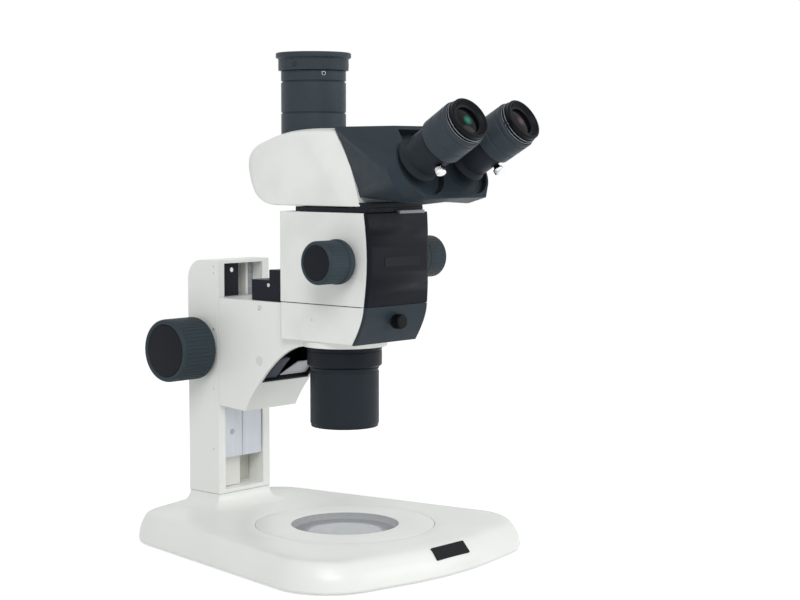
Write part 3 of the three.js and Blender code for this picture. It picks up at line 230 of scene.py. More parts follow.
def rubbery(name, rgb):
    """Rubber: dull, with a coarse matt grain."""
    made = Shader(name, rgb, 0.82)
    made.vary_colour(made.noise(300, 4), shade(rgb, 1.2))
    made.bump(made.noise(900, 3), 0.4, 0.0002)
    return made.material


def coated_lens(name, reflection_tint, centre, radius):
    """Coated lens over a dark barrel: a painted reflection of the coating, a soft tint at the middle that
    fades to the dark base at the radius (millimetres).
    """
    made = Shader(name, (7, 9, 11), 0.06)
    made.shader.inputs["Specular IOR Level"].default_value = 0.12
    shift = made.node("VectorMath", operation="DISTANCE")
    made.link(made.place, shift.inputs[0])
    shift.inputs[1].default_value = [c * MM for c in centre]
    made.vary_colour(shift.outputs["Value"], reflection_tint, radius * MM, radius * 0.15 * MM)
    return made.material


def clear_glass(name, rgb, clearness):
    """Plate glass: light passes straight through the clear share, the rest scatters from its grey body."""
    made = Shader(name, rgb, 0.22)
    made.vary_roughness(made.noise(150, 2), 0.05)
    made.shader.inputs["Alpha"].default_value = 1 - clearness
    return made.material


FINISHES = {
    "white_enamel": enamel("white enamel", OFFWHITE),
    "white_cover": moulded("white moulding", COVER_WHITE, 0.36, 1400, 0.08),
    "slate_paint": powder_coat("slate paint", SLATE_BARREL, 0.42),
    "slate_plastic": moulded("slate moulding", SLATE, 0.42),
    "black_panel": moulded("dark panel", PANEL_DARK, 0.34, 1600, 0.1),
    "black_paint": powder_coat("black paint", SOFT_BLACK, 0.4),
    "black_plastic": moulded("black moulding", DEEP_BLACK, 0.42),
    "aluminium": brushed("satin aluminium", (204, 208, 215), 0.45, (500, 500, 12), 0.3, 0.97),
    "steel": brushed("ground steel", (186, 188, 190), 0.3, (40, 1200, 1200)),
    "chrome": plated("bright plating", (226, 227, 228), 0.16),
    "brass": brushed("turned brass", (190, 160, 98), 0.3, (900, 900, 30)),
    "rubber": rubbery("foot rubber", (34, 34, 34)),
    "glass": clear_glass("lens glass", (200, 214, 214), 0.65),
    "frosted_glass": clear_glass("stage glass", (150, 157, 163), 0.55),
    # the opal disc carries a painted glow; the stage lamp under it is off
    "diffuser": opal("opal diffuser", (236, 237, 236), 0.55),
}
GRIP = moulded("grip moulding", (54, 65, 71), 0.5, 2600, 0.3)
CAP_BLACK = moulded("knob cap", (22, 26, 32), 0.38, 2000, 0.2)
TUBE_GREY = powder_coat("tube paint", (56, 64, 70), 0.4)
# darker beige for the sheet at the back of the column's channel: painted shade in that recess
CHANNEL_SHADE = moulded("channel floor", (205, 203, 193), 0.6, 900, 0.1)
ARCH_BAND = moulded("arch band", (80, 87, 96), 0.5, 1200, 0.1)
TRAY = moulded("arm tray", (208, 208, 214), 0.45, 800, 0.1)
# grey silver for the rail at the channel's right wall: partly painted shade on that wall
SILVER_AND_SHADE_PANEL = brushed("silver panel", (188, 190, 197), 0.4, (30, 900, 900), 0.35)
GLINT_AND_SCREW_METAL = plated("bright line", (150, 155, 161), 0.35)
# thin plated rings that paint highlights on ring edges and carrier rims; also the slide screw's real metal
SCREW_STEEL = plated("screw steel", (196, 198, 200), 0.3)
LINER_BLACK = moulded("liner", (22, 24, 29), 0.36, 1500, 0.15)
CREAM = moulded("guide moulding", (229, 229, 223), 0.5, 900, 0.15)
LIGHT_BAR = moulded("light bar", (150, 153, 162), 0.3, 700, 0.1)
NAME_PLATE = moulded("bare plate", (27, 31, 38), 0.35, 1600, 0.1)
BASE_LABEL = moulded("bare label", (24, 26, 30), 0.4, 1600, 0.1)

SLOT_OF = {entry["node"]: entry["material_slot"] for entry in frame["record"]["subparts"]}
BODY_OF = {node: body for body, nodes in frame["record"]["behaviour"]["bodies"].items() for node in nodes}
for node_name, node_object in frame["nodes"].items():
    node_object.data.materials.clear()
    node_object.data.materials.append(FINISHES[SLOT_OF[node_name]])


# ---------- surface helpers
POLE = 1e-3  # an end row smaller than this is a point and needs no lid
MERGE_DISTANCE, SLIVER, FACET_JOIN = 1e-7, 1e-8, 2e-6  # metres
FLAT_ANGLE, CORNER_ANGLE = math.radians(0.5), math.radians(38)
SIDES = (("left", -1), ("right", 1))


def eased(points, radius, steps=5, closed=False):
    """Polyline with each corner replaced by a quadratic curve that starts and ends up to radius from it.

    Along the curve, Q(t) = (1-t)^2 A + 2t(1-t) P + t^2 B, with A and B on the two sides of corner P.
    """
    p = np.asarray(points, float)
    before, after = np.roll(p, 1, 0), np.roll(p, -1, 0)
    radius = np.broadcast_to(np.asarray(radius, float), len(p))[:, None]

    def towards(other):
        side = other - p
        length = np.linalg.norm(side, axis=1, keepdims=True) + 1e-12
        return (p + side * np.minimum(radius / length, 0.49))[:, None]

    t = np.linspace(0, 1, steps)[None, :, None]
    curve = (1 - t) ** 2 * towards(before) + 2 * t * (1 - t) * p[:, None] + t**2 * towards(after)
    if not closed:
        curve[0], curve[-1] = p[0], p[-1]
    flat = curve.reshape(-1, p.shape[1])
    keep = np.ones(len(flat), bool)
    keep[1:] = np.linalg.norm(np.diff(flat, axis=0), axis=1) > 1e-9
    return flat[keep]


def grid_faces(rows, columns, loop_rows):
    """Quads of a grid whose columns wrap round, and whose rows do too where loop_rows is true."""
    r = np.arange(rows if loop_rows else rows - 1)[:, None]
    c = np.arange(columns)[None, :]
    r2, c2 = (r + 1) % rows, (c + 1) % columns
    quad = np.stack([r * columns + c, r * columns + c2, r2 * columns + c2, r2 * columns + c], -1)
    return quad.reshape(-1, 4)


def outward(verts, faces):
    """Faces in the order that makes the enclosed volume, the sum of a . (b x c) / 6, positive."""
    a, b, c, d = (verts[faces[:, i]] for i in range(4))
    volume = np.einsum("ij,ij->", a, np.cross(b, c)) + np.einsum("ij,ij->", a, np.cross(c, d))
    return faces if volume > 0 else faces[:, ::-1]


def smooth(mesh, sharp):
    """Smooth shading with edges sharper than the given angle kept crisp."""
    mesh.polygons.foreach_set("use_smooth", np.ones(len(mesh.polygons), bool))
    mesh.set_sharp_from_angle(angle=math.radians(sharp))


def to_object(name, verts, faces, material, sharp):
    """Points in millimetres become a mesh in metres, without doubles and slivers.

    The material is one of the finishes by its name, or a material of its own.
    """
    mesh = bpy.data.meshes.new(name)
    mesh.from_pydata((verts * MM).tolist(), [], faces)
    mesh.materials.append(FINISHES[material] if isinstance(material, str) else material)
    piece = bpy.data.objects.new(name, mesh)
    bpy.context.scene.collection.objects.link(piece)
    tidy = bmesh.new()
    tidy.from_mesh(mesh)
    bmesh.ops.remove_doubles(tidy, verts=tidy.verts, dist=MERGE_DISTANCE)
    bmesh.ops.dissolve_degenerate(tidy, edges=tidy.edges, dist=SLIVER)
    tidy.to_mesh(mesh)
    tidy.free()
    smooth(mesh, sharp)
    return piece


def surface(name, grid, material, loop_rows=False, sharp=35.0):
    """Closed surface from a grid of points (rows, columns, 3); open first and last rows get flat lids."""
    rows, columns, _ = grid.shape
    verts = grid.reshape(-1, 3)
    quads = grid_faces(rows, columns, loop_rows)
    if loop_rows:
        return to_object(name, verts, outward(verts, quads).tolist(), material, sharp)
    ends = [row for row in (0, rows - 1) if np.ptp(grid[row], axis=0).max() > POLE]
    lids = [np.arange(columns)[:: -1 if row == 0 else 1] + row * columns for row in ends]
    faces = quads.tolist() + [lid.tolist() for lid in lids]
    turned_round = outward(verts - verts.mean(0), quads) is not quads
    if turned_round:
        faces = [face[::-1] for face in faces]
    return to_object(name, verts, faces, material, sharp)


def facing(direction):
    """Rotation that turns +Z to the given direction the shortest way."""
    turn = Vector((0, 0, 1)).rotation_difference(Vector(direction))
    return np.array(turn.to_matrix())


def turned(name, profile, material, at, direction=(0, 0, 1), rounds=0.4, steps=4, segments=72,
           ripple=None, closed=False, sharp=35.0):
    """Profile of [radius, height], its corners eased, turned about an axis: (r cos a, r sin a, h).

    A ripple(a, h) multiplies r. Where rounds is None, the profile is taken as it is.
    """
    profile = np.asarray(profile, float) if rounds is None else eased(profile, rounds, steps, closed)
    angle = np.linspace(0, 2 * np.pi, segments, endpoint=False)
    r, h = profile[:, :1], profile[:, 1:]
    radial = r * (ripple(angle[None, :], h) if ripple else np.ones((1, segments)))
    local = np.stack([radial * np.cos(angle), radial * np.sin(angle), h * np.ones_like(angle)], -1)
    grid = local @ facing(direction).T + np.asarray(at, float)
    return surface(name, grid, material, closed, sharp)


def ribs(count, depth, low, high):
    """Ripple that sinks count rounded grooves, as deep as depth times the radius, between two heights."""
    def ripple(angle, height):
        groove = (0.5 - 0.5 * np.cos(count * angle)) ** 3
        inside = (height > low) & (height < high)
        return 1 - depth * groove * inside
    return ripple


def rectangle(left, front, right, back):
    return np.array([(left, front), (right, front), (right, back), (left, back)], float)


def arc_outline(corners, radius, steps=8):
    """Closed outline through the corners, each eased by the radius."""
    return eased(corners, radius, steps, closed=True)


def shrunk(outline, depth):
    """Outline moved inwards along its normals; the outline runs anticlockwise."""
    tangent = np.roll(outline, -1, 0) - np.roll(outline, 1, 0)
    normal = np.stack([tangent[:, 1], -tangent[:, 0]], 1)
    normal /= np.linalg.norm(normal, axis=1, keepdims=True) + 1e-12
    return outline - normal * (depth(normal) if callable(depth) else depth)


def slab(name, outline, low, high, material, edge):
    """Outline carried up from low to high, its two rims rounded by a quarter circle of radius edge."""
    t = np.linspace(0, np.pi / 2, 4)
    depth = np.concatenate([edge * (1 - np.sin(t)), edge * (1 - np.cos(t))])
    height = np.concatenate([low + edge * (1 - np.cos(t)), high - edge * (1 - np.sin(t))])
    rows = [np.column_stack([shrunk(outline, d), np.full(len(outline), h)]) for d, h in zip(depth, height)]
    return surface(name, np.array(rows), material)


def fitted(piece, body, slot_name, *nodes):
    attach(piece, body)
    if nodes:
        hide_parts(*nodes)
    return piece


def stands_for(piece, node):
    """The piece takes a node's place, with its body."""
    return fitted(piece, BODY_OF[node], SLOT_OF[node], node)


def softened(node, edge, material=None, sharp=40.0):
    """Copy of a node's solid with its facets joined and its sharp edges rounded."""
    mesh = frame["nodes"][node].data.copy()
    work = bmesh.new()
    work.from_mesh(mesh)
    bmesh.ops.remove_doubles(work, verts=work.verts, dist=FACET_JOIN)
    bmesh.ops.dissolve_limit(work, angle_limit=FLAT_ANGLE, verts=work.verts, edges=work.edges)
    work.to_mesh(mesh)
    work.free()
    mesh.materials.clear()
    mesh.materials.append(material or FINISHES[SLOT_OF[node]])
    piece = bpy.data.objects.new(node + "_skin", mesh)
    bpy.context.scene.collection.objects.link(piece)
    smooth(mesh, sharp)
    bevel = piece.modifiers.new("edges", "BEVEL")
    bevel.width = edge * MM
    bevel.segments = 3
    bevel.limit_method = "ANGLE"
    bevel.angle_limit = CORNER_ANGLE
    bevel.use_clamp_overlap = True
    bevel.harden_normals = True
    return stands_for(piece, node)


class Box:
    """Corners, middle and size of a node, in millimetres."""

    def __init__(self, node):
        self.low, self.high = (np.array(corner, float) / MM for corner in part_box(node))
        self.middle, self.size = (self.low + self.high) / 2, self.high - self.low


class Upright(Box):
    """A node that is round about an upright line: the line, the radius and the two ends."""

    def __init__(self, node):
        super().__init__(node)
        self.line = self.middle * (1, 1, 0)
        self.radius = self.size[0] / 2
        self.bottom, self.top = self.low[2], self.high[2]


class Crosswise(Box):
    """A node that is round about a line along X: the line, the radius and its inner and outer end."""

    def __init__(self, node):
        super().__init__(node)
        self.line = self.middle * (0, 1, 1)
        self.radius = self.size[2] / 2
        self.inner, self.outer = sorted((abs(self.low[0]), abs(self.high[0])))


AXIS_Y = Upright("stage_glass").middle[1]  # the optical axis stands at X = 0 and this Y


def model(x, y, z):
    """Point given from the optical axis and the table."""
    return np.array([x, AXIS_Y + y, z])


# ---------- base
BASE_CORNERS = [(0, -136), (146.9, -107), (96.9, 183), (0, 206), (-96.9, 183), (-146.9, -107)]
BASE_RADII = [280, 55, 48, 140, 48, 55]
BASE_EDGE = [(2, 1.2), (3.4, 0), (14, 2.2), (23.2, 9.6), (25.6, 13.6), (26.6, 19)]  # height, front inset
BASE_EDGE_ROUNDS = [0, 1.2, 5, 3.4, 3, 0]
BASE_SIDE_SHARE = 0.6  # the flanks are inset by this share of the front
BASE_COLUMNS = 288
BASE_WALL, BASE_CEILING = 9.1, 17.2  # the casting is hollow under its deck
WELL_GAP, WELL_FLOOR, WELL_HOLE = 0.35, 21, 72  # round the stage ring, under it, and the hole for the lamp
FOOT_SPREAD, FOOT_RISE = 15.0, 13.4  # the flare where the column grows out of the deck
DIMMER_FACE = model(117.86, 62, 11)
DIMMER_RADIUS, DIMMER_LENGTH = 9, 8
LOCK_SCREW_PLACE = model(43.8, -66.9, 25.9)
LABEL_FRONT, LABEL_REAR = model(0, -126.4, 15.6), model(0, -119.2, 23.4)


def true_arcs(corners, radii, steps=16):
    """Closed outline whose corners are circular arcs: each arc point is the slerp of the two end radii.

    The arc's centre lies on the corner's bisector, radius / sin(half angle) from the corner.
    """
    p = np.asarray(corners, float)
    r = np.asarray(radii, float)[:, None]
    a = np.roll(p, 1, 0) - p
    b = np.roll(p, -1, 0) - p
    a /= np.linalg.norm(a, axis=1, keepdims=True)
    b /= np.linalg.norm(b, axis=1, keepdims=True)
    half = np.arccos(np.clip((a * b).sum(1, keepdims=True), -1, 1)) / 2
    middle = a + b
    middle /= np.linalg.norm(middle, axis=1, keepdims=True)
    centre = p + middle * r / np.sin(half)
    start, end = p + a * r / np.tan(half) - centre, p + b * r / np.tan(half) - centre
    sweep = (np.pi - 2 * half)[:, None]
    t = np.linspace(0, 1, steps)[None, :, None]
    arc = (np.sin((1 - t) * sweep) * start[:, None] + np.sin(t * sweep) * end[:, None]) / np.sin(sweep)
    return (arc + centre[:, None]).reshape(-1, 2)


def evenly_round(outline, columns):
    """Outline sampled at even angles about the origin: its radius is a function of the angle."""
    angle = np.unwrap(np.arctan2(outline[:, 1], outline[:, 0]))
    order = np.argsort(angle % (2 * np.pi))
    angle, reach = (angle % (2 * np.pi))[order], np.linalg.norm(outline, axis=1)[order]
    angle = np.concatenate([angle[-1:] - 2 * np.pi, angle, angle[:1] + 2 * np.pi])
    reach = np.concatenate([reach[-1:], reach, reach[:1]])
    even = np.linspace(0, 2 * np.pi, columns, endpoint=False)
    x, y = np.interp(even, angle, reach * np.cos(angle)), np.interp(even, angle, reach * np.sin(angle))
    return np.stack([x, y], 1), np.stack([np.cos(even), np.sin(even)], 1)


def level(flat, z):
    """Row of points at one height, from an outline about the optical axis."""
    return np.column_stack([flat[:, 0], AXIS_Y + flat[:, 1], np.full(len(flat), z)])


def make_base():
    outline, ray = evenly_round(true_arcs(BASE_CORNERS, BASE_RADII, 40), BASE_COLUMNS)

    def share(normal):
        return (BASE_SIDE_SHARE + (1 - BASE_SIDE_SHARE) * np.maximum(0, -normal[:, 1]))[:, None]

    edge = eased(BASE_EDGE, BASE_EDGE_ROUNDS, 6)
    rows = [level(shrunk(outline, lambda n, d=d: d * share(n)), z) for z, d in edge]
    top, inset = BASE_EDGE[-1]
    rim = shrunk(outline, lambda n: inset * share(n))
    well = Upright("stage_ring").radius + WELL_GAP
    rows += [level(rim * (1 - t) + ray * (well + 0.8) * t, top) for t in (0.25, 0.5, 0.75, 1)]
    rows += [level(ray * r, z) for r, z in (
        (well + 0.2, top - 0.2), (well, top - 0.8), (well, WELL_FLOOR),
        (WELL_HOLE, WELL_FLOOR), (WELL_HOLE, BASE_CEILING),
    )]
    walls = ((BASE_WALL, BASE_CEILING), (BASE_WALL, 2.3), (8.6, 2))
    rows += [level(shrunk(outline, wall), z) for wall, z in walls]
    casting = surface("base_body", np.array(rows), "white_enamel", loop_rows=True, sharp=50)
    stands_for(casting, "base_casting")

    column = Box("column")
    half, depth, _ = column.size / 2
    middle = column.middle[1] - AXIS_Y
    swing = np.linspace(0, np.pi / 2, 14)
    rows = []
    for fall, climb in zip(FOOT_SPREAD * (1 - np.sin(swing)), FOOT_RISE * (1 - np.cos(swing))):
        x, y, r = half + fall, depth + fall, 1.5 + 0.75 * fall
        rows.append(level(true_arcs(rectangle(-x, middle - y, x, middle + y), [r] * 4, 10), top + climb))
    rows.insert(0, rows[0] - (0, 0, 1.5))
    skirt = surface("column_foot", np.array(rows), "white_enamel", sharp=60)
    fitted(skirt, "stand", "white_enamel", "base_casting")


def make_stage():
    ring, glass, lamp = (Upright(node) for node in ("stage_ring", "stage_glass", "lamp_diffuser"))
    inner, outer, seat = glass.radius + 0.35, ring.radius, glass.bottom - 0.3
    profile = [
        (inner - 4, ring.bottom), (outer, ring.bottom), (outer, ring.top),
        (inner, ring.top), (inner, seat), (inner - 4, seat),
    ]
    piece = turned("stage_insert", profile, "white_enamel", ring.line,
                   rounds=[0.3, 0.3, 0.7, 0.5, 0.2, 0.4], segments=160, closed=True)
    stands_for(piece, "stage_ring")
    r, face = glass.radius, glass.top - 0.05
    plate = [(0, glass.bottom), (r, glass.bottom), (r, face), (0, face)]
    piece = turned("stage_plate_glass", plate, "frosted_glass", glass.line,
                   rounds=[0, 0.4, 0.5, 0], segments=128)
    stands_for(piece, "stage_glass")
    r, top = lamp.radius, lamp.top
    disc = [(0, lamp.bottom), (r, lamp.bottom), (r, top), (r * 0.5, top + 0.25), (0, top + 0.3)]
    piece = turned("opal_disc", disc, "diffuser", lamp.line,
                   rounds=[0, 0.3, 0.6, 4, 0], segments=96)
    stands_for(piece, "lamp_diffuser")
    screw = [(0, -0.3), (1.5, -0.3), (1.5, 0.55), (0, 0.55)]
    piece = turned("ring_lock_screw", screw, SCREW_STEEL, LOCK_SCREW_PLACE, rounds=0.2, steps=3, segments=24)
    fitted(piece, "stand", "steel")


def make_feet():
    for number in range(1, 5):
        node = f"rubber_foot_{number}"
        foot = Upright(node)
        r, low, high = foot.radius, foot.bottom, foot.top
        profile = [(0, low), (r - 0.8, low), (r, low + 0.8), (r, high), (0, high)]
        piece = turned(f"foot_pad_{number}", profile, "rubber", foot.line, steps=3, segments=48)
        stands_for(piece, node)


def make_base_fittings():
    side = math.atan2(50, 290)  # the base's flank runs in towards the rear
    normal = np.array([math.cos(side), math.sin(side), 0])
    r, end = DIMMER_RADIUS, DIMMER_LENGTH
    profile = [
        (0, 0.3), (r, 0.3), (r, end * 0.8), (r - 0.8, end),
        (r * 0.6, end), (r * 0.55, end - 0.5), (0, end - 0.5),
    ]
    knob = turned("dimmer_grip", profile, GRIP, DIMMER_FACE, normal, segments=96,
                  ripple=ribs(24, 0.06, 0.8, end * 0.78))
    stands_for(knob, "brightness_knob")
    at = DIMMER_FACE + normal * (end - 0.35) + (0, 0, r * 0.72)
    dot = [(0, 0), (0.9, 0), (0.9, 0.25), (0, 0.25)]
    mark = turned("dimmer_mark", dot, "white_cover", at, normal, rounds=0.1, steps=3, segments=20)
    fitted(mark, "brightness_control", "white_cover")
    inlet = Box("power_inlet")
    centre = (inlet.middle[0], inlet.high[1], inlet.middle[2])
    outer, floor = inlet.size[0] / 2, -inlet.size[1]
    socket = [(3.4, 0), (outer, 0), (outer, floor), (0, floor), (0, floor + 3), (3.4, floor + 3)]
    piece = turned("inlet_socket", socket, "black_plastic", centre, (0, 1, 0),
                   rounds=[0.5, 0.5, 0.2, 0, 0, 0.2], segments=64, closed=True)
    stands_for(piece, "power_inlet")
    pin = turned("inlet_pin", [(0, floor + 2), (1, floor + 2), (1, -2.5), (0, -2.2)], "chrome",
                 centre, (0, 1, 0), rounds=0.3, steps=3, segments=24)
    fitted(pin, "stand", "steel")
    along = (LABEL_REAR - LABEL_FRONT) / np.linalg.norm(LABEL_REAR - LABEL_FRONT)
    lift = np.cross([1, 0, 0], along)
    outline = arc_outline(rectangle(-21, 0, 21, 12), 1.2, 6)
    rows = []
    for height, inset in ((-2.2, 0), (1.1, 0), (1.3, 0.2)):
        flat = shrunk(outline, inset)
        rows.append(LABEL_FRONT + flat[:, :1] * (1, 0, 0) + flat[:, 1:] * along + lift * height)
    label = surface("bare_label_plate", np.array(rows), BASE_LABEL)
    fitted(label, "stand", "black_plastic")


# ---------- column
COLUMN_SCREWS = [(135, 251.7), (135, 245.3), (135.5, 193.6), (136, 138), (136.7, 82)]  # y, z on each flank
# the second rail's grey silver is partly painted shade on the channel's right wall
RAILS = (("pale", 14.3, 17.6, CREAM), ("bright", 18.2, 23, SILVER_AND_SHADE_PANEL))  # beside the guide, from X to X
RAIL_ENDS, LINING_ENDS = (198, 253), (46, 197)
BUSH_BORE, BUSH_BODY, BUSH_FLANGE = 4.3, 8, 2.7


def screw_head(name, at, direction, body, radius, height, material=SCREW_STEEL):
    """Cap screw: a low dome with a round recess sunk in its middle."""
    r, h = radius, height
    profile = [
        (0, -0.6), (r, -0.6), (r, h * 0.6), (r * 0.8, h), (r * 0.5, h), (r * 0.45, h * 0.2), (0, h * 0.1),
    ]
    piece = turned(name, profile, material, at, direction, rounds=0.12, steps=3, segments=30)
    fitted(piece, body, "steel")


def make_column():
    softened("column", 1.2)
    softened("column_guide", 0.8, CREAM)
    softened("upper_stop_block", 0.8)
    column, block = Box("column"), Box("upper_stop_block")
    for side, x in (("left", column.low[0]), ("right", column.high[0])):
        for number, (y, z) in enumerate(COLUMN_SCREWS, 1):
            way = (math.copysign(1, x), 0, 0)
            screw_head(f"column_screw_{side}_{number}", model(x, y, z), way, "stand", 1.1, 0.2)
    front, back = block.low[1], block.high[1]
    screw_head("stop_block_screw", (-6, front, 247), (0, -1, 0), "stand", 2.2, 0.2)
    for name, left, right, material in RAILS:
        outline = arc_outline(rectangle(left, front + 2.5, right, back), 0.5, 4)
        fitted(slab(f"{name}_rail", outline, *RAIL_ENDS, material, 0.4), "stand", "aluminium")
    # darker sheet at the back of the channel: painted shade
    outline = arc_outline(rectangle(4, back - 1.2, 23.4, back), 0.3, 3)
    fitted(slab("channel_shade_lining", outline, *LINING_ENDS, CHANNEL_SHADE, 0.2), "stand", "white_cover")
    for side, sign in SIDES:
        node = f"focus_bush_{side}"
        bush = Crosswise(node)
        start, end, shoulder = bush.inner, bush.outer, bush.outer - BUSH_FLANGE
        profile = [
            (BUSH_BORE, start), (BUSH_BODY, start), (BUSH_BODY, shoulder),
            (bush.radius, shoulder), (bush.radius, end), (BUSH_BORE, end),
        ]
        piece = turned(node + "_turned", profile, "brass", bush.line, (sign, 0, 0),
                       rounds=0.5, closed=True)
        stands_for(piece, node)


# ---------- focus and zoom knobs
FOCUS_ROUNDS = [0, 1, 1.6, 1.4, 1.4, 0.8, 0.8, 0.6, 0.5, 0]


def make_focus_knobs():
    for side, sign in SIDES:
        node = f"focus_knob_{side}"
        knob = Crosswise(node)
        r, inner, outer = knob.radius, knob.inner, knob.outer
        profile = [
            (4.3, inner), (r - 5, inner), (r - 1.4, inner + 1.2), (r, inner + 3.2),
            (r, outer - 2.6), (r - 0.7, outer - 0.7), (r - 2.2, outer),
            (r - 4.2, outer - 0.2), (r - 4.8, outer - 1.6), (4.3, outer - 1.6),
        ]
        grip = turned(node + "_grip", profile, GRIP, knob.line, (sign, 0, 0), FOCUS_ROUNDS, 5, 384,
                      ribs(48, 0.022, inner + 3.4, outer - 2.6), closed=True, sharp=50)
        stands_for(grip, node)
        disc, seat, face = r - 5, outer - 1.8, outer - 0.8
        cap = [(0, seat), (disc, seat), (disc, outer - 1.1), (disc - 0.6, face), (0, face)]
        piece = turned(node + "_cap", cap, CAP_BLACK, knob.line, (sign, 0, 0), rounds=0.3, segments=128)
        fitted(piece, "focus_drive", "black_plastic")


def make_zoom_knobs():
    for side, sign in SIDES:
        node = f"zoom_knob_{side}"
        knob = Crosswise(node)
        flange, r, inner, outer = knob.radius, knob.radius - 0.8, knob.inner, knob.outer
        profile = [
            (3.3, inner), (r - 4, inner), (flange - 1.2, inner + 1.6), (flange, inner + 4),
            (flange, inner + 8), (r - 0.6, inner + 8.6), (r - 0.6, inner + 9.4), (r, inner + 10),
            (r, outer - 1.8), (r - 1.4, outer), (r - 3, outer - 0.1), (r - 3.4, outer - 1), (3.3, outer - 1),
        ]
        grip = turned(node + "_grip", profile, GRIP, knob.line, (sign, 0, 0), 0.7, 5, 288,
                      ribs(36, 0.02, inner + 10.2, outer - 2), closed=True, sharp=50)
        stands_for(grip, node)
        disc, seat, face = r - 3.6, outer - 1.2, outer - 0.4
        cap = [(0, seat), (disc, seat), (disc, outer - 0.7), (disc - 0.5, face), (0, face)]
        piece = turned(node + "_cap", cap, CAP_BLACK, knob.line, (sign, 0, 0), rounds=0.2, segments=96)
        fitted(piece, "zoom_drive", "black_plastic")


# ---------- carriage
ARCH_FOOT, ARCH_RUN, ARCH_RISE = (94.5, 121.5), 88.5, 64.8
ARM_HALF = 32.4


def arch_place(t, depth):
    """Y and Z on the arch under the arm, sunk into it by depth.

    From foot to crown y falls evenly with t, and z rises with sin(1.12 t)^0.88 of a quarter turn.
    """
    def curve(u):
        rise = math.sin(math.pi / 2 * min(1, u * 1.12)) ** 0.88
        return np.array([ARCH_FOOT[0] - ARCH_RUN * u, ARCH_FOOT[1] + ARCH_RISE * rise])

    along = curve(t + 0.01) - curve(t - 0.01)
    along /= np.linalg.norm(along)
    return curve(t) + depth * np.array([along[1], -along[0]])


def arch_sheet(name, stretch, left, right, depth, material, rounding=0.0):
    """Sheet 1 mm thick that follows the arch, its left and right edges running from (low end, high end)."""
    rows = []
    for share in np.linspace(0, 1, 25):
        t, x0, x1 = (a + share * (b - a) for a, b in (stretch, left, right))
        end = max(0, (abs(share - 0.5) - 0.36) / 0.14)
        pull = rounding * (1 - math.sqrt(max(0, 1 - end**2)))
        section = arc_outline(rectangle(x0 + pull, depth, x1 - pull, depth + 1), 0.25, 3)
        rows.append([model(x, *arch_place(t, sunk)) for x, sunk in section])
    fitted(surface(name, np.array(rows), material), "carriage", "black_plastic")


def make_carriage():
    softened("carriage_arm", 1.4)
    softened("arm_liner", 0.5, LINER_BLACK)
    softened("mounting_bracket", 0.7)
    softened("focus_slide", 0.4)
    arch_sheet("arch_band", (0.222, 0.46), (-25.5, -23), (-10, -11), 2.4, ARCH_BAND, 5)
    arch_sheet("arm_tray", (0.243, 0.37), (-6, 6), (28.4, 28.4), 3.4, TRAY)
    for side, sign in SIDES:
        screw_head(f"arm_screw_{side}", model(ARM_HALF * sign, 74, 217), (sign, 0, 0), "carriage", 2.4, 0.4)
        plug = [(0, -0.5), (4.6, -0.5), (4.6, 0.15), (3.9, 0.3), (0, 0.2)]
        piece = turned(f"arm_plug_{side}", plug, CREAM, model(ARM_HALF * sign, 74.5, 169), (sign, 0, 0),
                       rounds=0.2, steps=3, segments=40)
        fitted(piece, "carriage", "white_enamel")
    screw_head("bracket_screw", model(-12, 72, 242), (0, 0, 1), "carriage", 2.2, 0.6)
    screw_head("bracket_side_screw", model(-29, 66, 237.5), (-1, 0, 0), "carriage", 1.8, 0.5)
    at = (-14.3, Box("column").low[1] + 1.5, 97)
    screw_head("slide_screw", at, (0, -1, 0), "carriage", 2.6, 0.25, GLINT_AND_SCREW_METAL)


# ---------- zoom body
SEAM_ENDS = (224.5, 225.5)
IRIS_STEM = -24  # the stem runs this far behind the knob's face


def front_plate(name, outline, stations, material, slot_name):
    """Plate at the upper front panel: an outline in X and Z, stacked at (distance behind the face, inset)."""
    front = Box("upper_front_panel").low[1]
    rows = []
    for behind, inset in stations:
        flat = shrunk(outline, inset)
        rows.append(np.column_stack([flat[:, 0], np.full(len(flat), front + behind), flat[:, 1]]))
    fitted(surface(name, np.array(rows), material), "carriage", slot_name)


def make_body():
    for node in ("upper_body_shell", "lower_body_shell"):
        softened(node, 1.1)
    for node in ("upper_front_panel", "lower_front_panel"):
        softened(node, 0.9)
    seam = arc_outline(rectangle(-38.8, AXIS_Y - 57, 38.8, AXIS_Y + 42.1), 2, 5)
    # dark strip in the seam: the narrow real joint and the painted shade in the gap
    fitted(slab("body_seam_shade_strip", seam, *SEAM_ENDS, CAP_BLACK, 0.1), "carriage", "black_plastic")
    plate = arc_outline(rectangle(-20, 259, 25, 267), 0.8, 5)
    front_plate("bare_name_plate", plate, ((1.2, 0), (-0.25, 0), (-0.4, 0.2)), NAME_PLATE, "black_panel")
    for side, sign in SIDES:
        screw_head(f"body_hole_{side}", model(39 * sign, 2, 211), (sign, 0, 0), "carriage", 1.5, 0.1)
    iris = Box("iris_knob")
    r = iris.size[0] / 2
    centre = (iris.middle[0], iris.low[1], iris.middle[2])
    profile = [
        (0, 0), (r - 0.9, 0), (r, -0.9), (r, -8.6), (r - 0.8, -9.4),
        (3, -9.6), (3, IRIS_STEM), (0, IRIS_STEM),
    ]
    knob = turned("iris_grip", profile, "black_plastic", centre, (0, -1, 0), segments=120,
                  ripple=ribs(20, 0.07, -8.4, -1.2))
    stands_for(knob, "iris_knob")


MOUNT_BORE = 25.5
BARREL_GROOVE = 163.6  # height at which the barrel's upper groove starts


